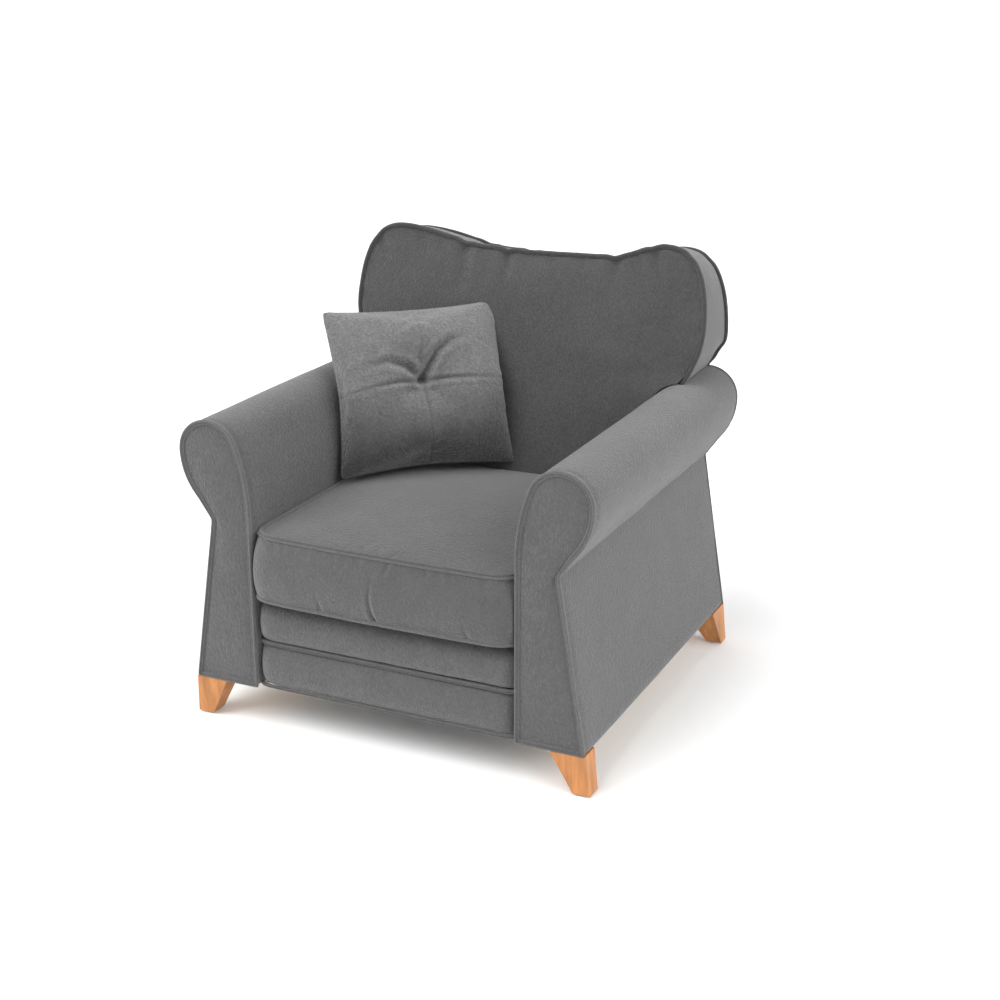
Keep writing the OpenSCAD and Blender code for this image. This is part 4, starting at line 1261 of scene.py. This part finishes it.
def scatter_folds(co):
    """How far each point of the scatter cushion moves out: unevenness, folds, seams and gathers."""
    radius = np.hypot(co[:, 0], co[:, 1])
    front = co[:, 2] > 0
    soft = ruffle(co, (0.0020, 0.13, 13), (0.0010, 0.05, 14))
    # The tuft draws the middle in
    dimple = 0.016 * np.exp(-((radius / 0.016) ** 2)) + 0.012 * np.exp(-((radius / 0.050) ** 2))
    soft -= np.where(front, dimple, 0)
    # Each fold's line in the cushion's own X and Y, its depth and its width
    folds = (
        ([(0.004, 0.006), (0.014, 0.034), (0.038, 0.070), (0.075, 0.096), (0.125, 0.108)], 0.0175, 0.0090),
        ([(-0.006, 0.006), (-0.040, 0.038), (-0.090, 0.057), (-0.165, 0.045)], 0.0155, 0.0090),
        ([(-0.002, 0.008), (-0.006, 0.045), (-0.008, 0.084)], 0.0080, 0.0055),
        ([(0.003, 0.008), (0.008, 0.045), (0.010, 0.066)], 0.0045, 0.0050),
        ([(-0.010, -0.007), (-0.050, -0.032), (-0.098, -0.056)], 0.0050, 0.0120),
        ([(0.008, -0.008), (0.034, -0.040), (0.058, -0.076)], 0.0042, 0.0120),
        ([(-0.008, 0.000), (-0.050, 0.003), (-0.100, 0.001), (-0.190, 0.000)], 0.0075, 0.0050),
        ([(0.008, 0.000), (0.050, 0.002), (0.100, 0.001), (0.190, 0.000)], 0.0070, 0.0050),
        ([(0.000, -0.008), (0.000, -0.045), (0.000, -0.090)], 0.0040, 0.0055),
    )
    for path, depth, width in folds:
        line = []
        for x, y in path:
            near = np.argmin(np.hypot(co[:, 0] - x, co[:, 1] - y) + np.where(front, 0, 1))
            line.append((x, y, co[near, 2]))
        soft += np.where(front, crease(co, line, depth, width, 1.1, 0.0), 0)
    # The cross of seams that joins the four front panels
    for across in (0, 1):
        line = np.exp(-((co[:, across] / 0.0035) ** 2)) * np.clip((radius - 0.015) / 0.03, 0, 1)
        soft -= np.where(front, 0.0022 * line, 0)
    # Short gathers that run in from the edges
    edges = ((0, SCATTER_W / 2), (0, -SCATTER_W / 2), (1, SCATTER_H / 2), (1, -SCATTER_H / 2))
    for side, (fixed, half) in enumerate(edges):
        rim = np.abs(co[:, fixed] - half)
        ripple = np.sin(co[:, 1 - fixed] * 170 + 5 * waves(co, 0.09, 30 + side))
        fade = np.exp(-(((rim - 0.020) / 0.018) ** 2))
        soft += 0.0009 * ripple * fade * (0.5 + 0.5 * waves(co, 0.08, 40 + side))
    return soft


def scatter():
    """The scatter cushion with its folds and seams, leant in its place."""
    obj, ids = scatter_shell()
    refine(obj)
    rim = rim_of(ids["front"])
    co = coords(obj)
    edge = co[rim]
    ease = np.clip(0.2 + nearest_on(co, np.r_[edge, edge[:1]])[0] / 0.010, 0.2, 1)
    push(obj, scatter_folds(co) * ease)
    co = coords(obj)
    co[:, 1] = tuft_raised(co[:, 0], co[:, 1])
    set_coords(obj, co)
    refine(obj)
    co = coords(obj)
    tree = BVHTree.FromPolygons([Vector(p) for p in co], [list(p.vertices) for p in obj.data.polygons])
    turn = scatter_frame().T

    def on_front(x, y, lift=0.0004):
        """Place and direction, in the chair's coordinates, of a point on the cushion's front."""
        hit, normal, _, _ = tree.ray_cast(Vector((x, tuft_raised(x, y), 0.2)), Vector((0, 0, -1)))
        return (np.array(hit) + np.array(normal) * lift) @ turn + SCATTER_AT, np.array(normal) @ turn

    for name, dx, dy, half in (("across", 1, 0, SCATTER_W / 2), ("upright", 0, 1, SCATTER_H / 2)):
        for tag, shift in (("a", 0.0045), ("b", -0.0045)):
            for part, ends in (("low", (0.045 - half, -0.022)), ("high", (0.022, half - 0.045))):
                hits = [on_front(s * dx + shift * dy, s * dy + shift * dx) for s in np.linspace(*ends, 40)]
                path, out = (np.array(column) for column in zip(*hits))
                stitches(f"scatter_seam_{name}_{tag}_{part}", path, out, "scatter_cushion", "scatter_velvet",
                         pitch=0.006, length=0.0035)
    edge = co[rim] @ turn + SCATTER_AT
    seam = sweep("scatter_edge_seam", edge, unit(edge - edge.mean(axis=0)), round_profile(0.0016, 8),
                 SCATTER, True)
    finish_piece(seam, "scatter_cushion", "scatter_velvet", "scatter_zip")
    finish_piece(tuft_knot(*on_front(0, 0, -0.001)), "scatter_cushion", "scatter_velvet", "scatter_tie")
    set_coords(obj, co @ turn + SCATTER_AT)
    finish_piece(obj, "scatter_cushion", "scatter_velvet", "scatter_front_panels", "scatter_back_panel",
                 "scatter_filling", fill=0.35)


def tuft_knot(at, normal):
    """The little gathered star of fabric and thread where the tuft is tied down."""
    side = unit(np.cross(normal, UP))
    up = np.cross(side, normal)
    rows = []
    for s in np.arange(9) / 8:
        row = []
        for a in np.linspace(0, 2 * math.pi, 33)[:-1]:
            r = (0.0085 * s + 0.0004) * (1 + 0.18 * math.cos(8 * a))
            height = 0.0030 * (1 - s**2) + 0.0010 * math.cos(8 * a) * s
            row.append(at + side * r * math.cos(a) + up * r * math.sin(a) + normal * height)
        rows.append(row)
    return sheet("scatter_tuft_knot", rows, SCATTER, wrap=True)


# ---------- Deck and underside ----------


def margin(x, y, low, high):
    """How far a point lies inside a box's edges, seen from above."""
    return min(x - low.x, high.x - x, y - low.y, high.y - y)


def deck():
    """The cloth-covered deck under the seat cushion: lining cloth with a velvet strip along its front."""
    low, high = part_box("seat_platform")
    strip_end = low.y + 0.105

    def height(x, y):
        return high.z - 0.0010 - 0.010 * math.exp(-max(0.0, margin(x, y, low, high)) / 0.012)

    xs = np.linspace(low.x + 0.001, high.x - 0.001, 61)
    for name, ends, count, material, slot, seed, cad in (
            ("deck_cloth", (strip_end, high.y), 60, LINING, "lining_cloth", 51, ("seat_platform",)),
            ("deck_front_strip", (low.y, strip_end), 14, SIDE, "velvet", 52, ())):
        obj = sheet(name, draped(xs, np.linspace(*ends, count), height), material, UP)
        push(obj, ruffle(coords(obj), (0.0008, 0.11, seed)) - 0.0008)
        refine(obj)
        finish_piece(obj, "root", slot, *cad, fill=0.4)
    xs = np.linspace(low.x + 0.004, high.x - 0.004, 100)
    path = np.c_[xs, np.full(100, strip_end), np.full(100, high.z - 0.0022)]
    out = repeated(UP, path)
    finish_piece(sweep("deck_seam", path, out, flat_profile(0.0035, 0.0022), WELT), "root", "velvet")
    stitches("deck_seam_stitches", path + 0.0022 * UP, out)


def dust_cover():
    """The black cloth stapled under the chair, hanging slightly between its staples."""
    low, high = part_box("dust_cover")
    pitch = 0.062

    def height(x, y):
        edge = margin(x, y, low, high)
        sag = 0.0045 * (1 - math.exp(-edge / 0.12))
        return low.z - sag + 0.0010 * math.exp(-edge / 0.02) * math.cos((x + y) * 2 * math.pi / pitch)

    rows = draped(np.linspace(low.x, high.x, 61), np.linspace(low.y, high.y, 81), height)
    obj = sheet("dust_cover_cloth", rows, LINING, -UP)
    refine(obj)
    finish_piece(obj, "root", "lining_cloth", "dust_cover")
    inset = 0.008
    left, right, front, rear = low.x + inset, high.x - inset, low.y + inset, high.y - inset
    corners = [(left, front), (right, front), (right, rear), (left, rear), (left, front)]
    loop = resample(corners, 400)[:-1]
    path = np.c_[loop, np.full(len(loop), low.z - 0.0012)]
    stitches("dust_cover_staples", path, repeated(-UP, path), "root", "steel", STEEL, True,
             pitch=pitch, length=0.011, radius=0.0006)


# ---------- Studio ----------


def studio_surface():
    material, shader = new_material("studio_floor")
    tree = material.node_tree
    tone = spread(tree, noise_node(tree, 2, 2), 0.99, 1.01)
    tree.links.new(tinted(tree, (0.86, 0.86, 0.86), tone), shader.inputs["Base Color"])
    shader.inputs["Roughness"].default_value = 0.9
    shader.inputs["Specular IOR Level"].default_value = 0.2
    return material


def surround(radius, height):
    """A bright ring far round the chair, so that the floor has no visible end."""
    material, shader = new_material("studio_surround")
    shader.inputs["Base Color"].default_value = (0.9, 0.9, 0.9, 1)
    shader.inputs["Emission Color"].default_value = (1, 1, 1, 1)
    shader.inputs["Emission Strength"].default_value = 1.0
    around = [(radius * math.cos(a), radius * math.sin(a)) for a in np.linspace(0, 2 * math.pi, 97)[:-1]]
    points = [(x, y, z) for z in (-0.5, height) for x, y in around]
    n = len(around)
    faces = [(k, (k + 1) % n, n + (k + 1) % n, n + k) for k in range(n)]
    return new_object("studio_surround", points, faces, material)


def area_light(name, at, target, size, power):
    data = bpy.data.lights.new(name, "AREA")
    data.shape = "SQUARE"
    data.size = size
    data.energy = power
    obj = add_object(name, data)
    obj.location = at
    obj.rotation_euler = (Vector(target) - Vector(at)).to_track_quat("-Z", "Y").to_euler()


def sun_light(name, direction, angle, strength):
    """A very broad, even light that comes from the given direction."""
    data = bpy.data.lights.new(name, "SUN")
    data.angle = math.radians(angle)
    data.energy = strength
    obj = add_object(name, data)
    obj.rotation_euler = Vector(direction).to_track_quat("Z", "Y").to_euler()


def studio():
    """A pale floor and surround under broad soft lights, the main one from the front left, and the camera."""
    reach = 90.0
    corners = [(-reach, -reach, 0), (reach, -reach, 0), (reach, reach, 0), (-reach, reach, 0)]
    floor = new_object("studio_floor", corners, [(0, 1, 2, 3)], studio_surface())
    surround(60.0, 17.0)
    world = bpy.data.worlds.new("studio")
    world.use_nodes = True
    background = world.node_tree.nodes["Background"]
    background.inputs["Color"].default_value = (1, 1, 1, 1)
    background.inputs["Strength"].default_value = 0.56
    bpy.context.scene.world = world
    sun_light("key", (-0.55, -0.85, 1.30), 45, 2.7)
    sun_light("side", (1.0, -0.20, 0.50), 60, 2.3)
    area_light("top", (0.0, 0.4, 4.0), (0, 0, 0.5), 2.0, 25)
    camera = add_object("photo_camera", bpy.data.cameras.new("photo_camera"))
    camera.data.lens = 61.256
    camera.data.sensor_width = 36
    camera.location = (1.6908, -3.4516, 1.7914)
    camera.rotation_euler = (math.radians(90 - 19.14), 0, math.radians(25.13))
    bpy.context.scene.camera = camera
    bpy.context.scene.view_settings.view_transform = "Standard"


dress_frame()
arms()
border()
seat()
back()
outside_back()
scatter()
deck()
dust_cover()
studio()
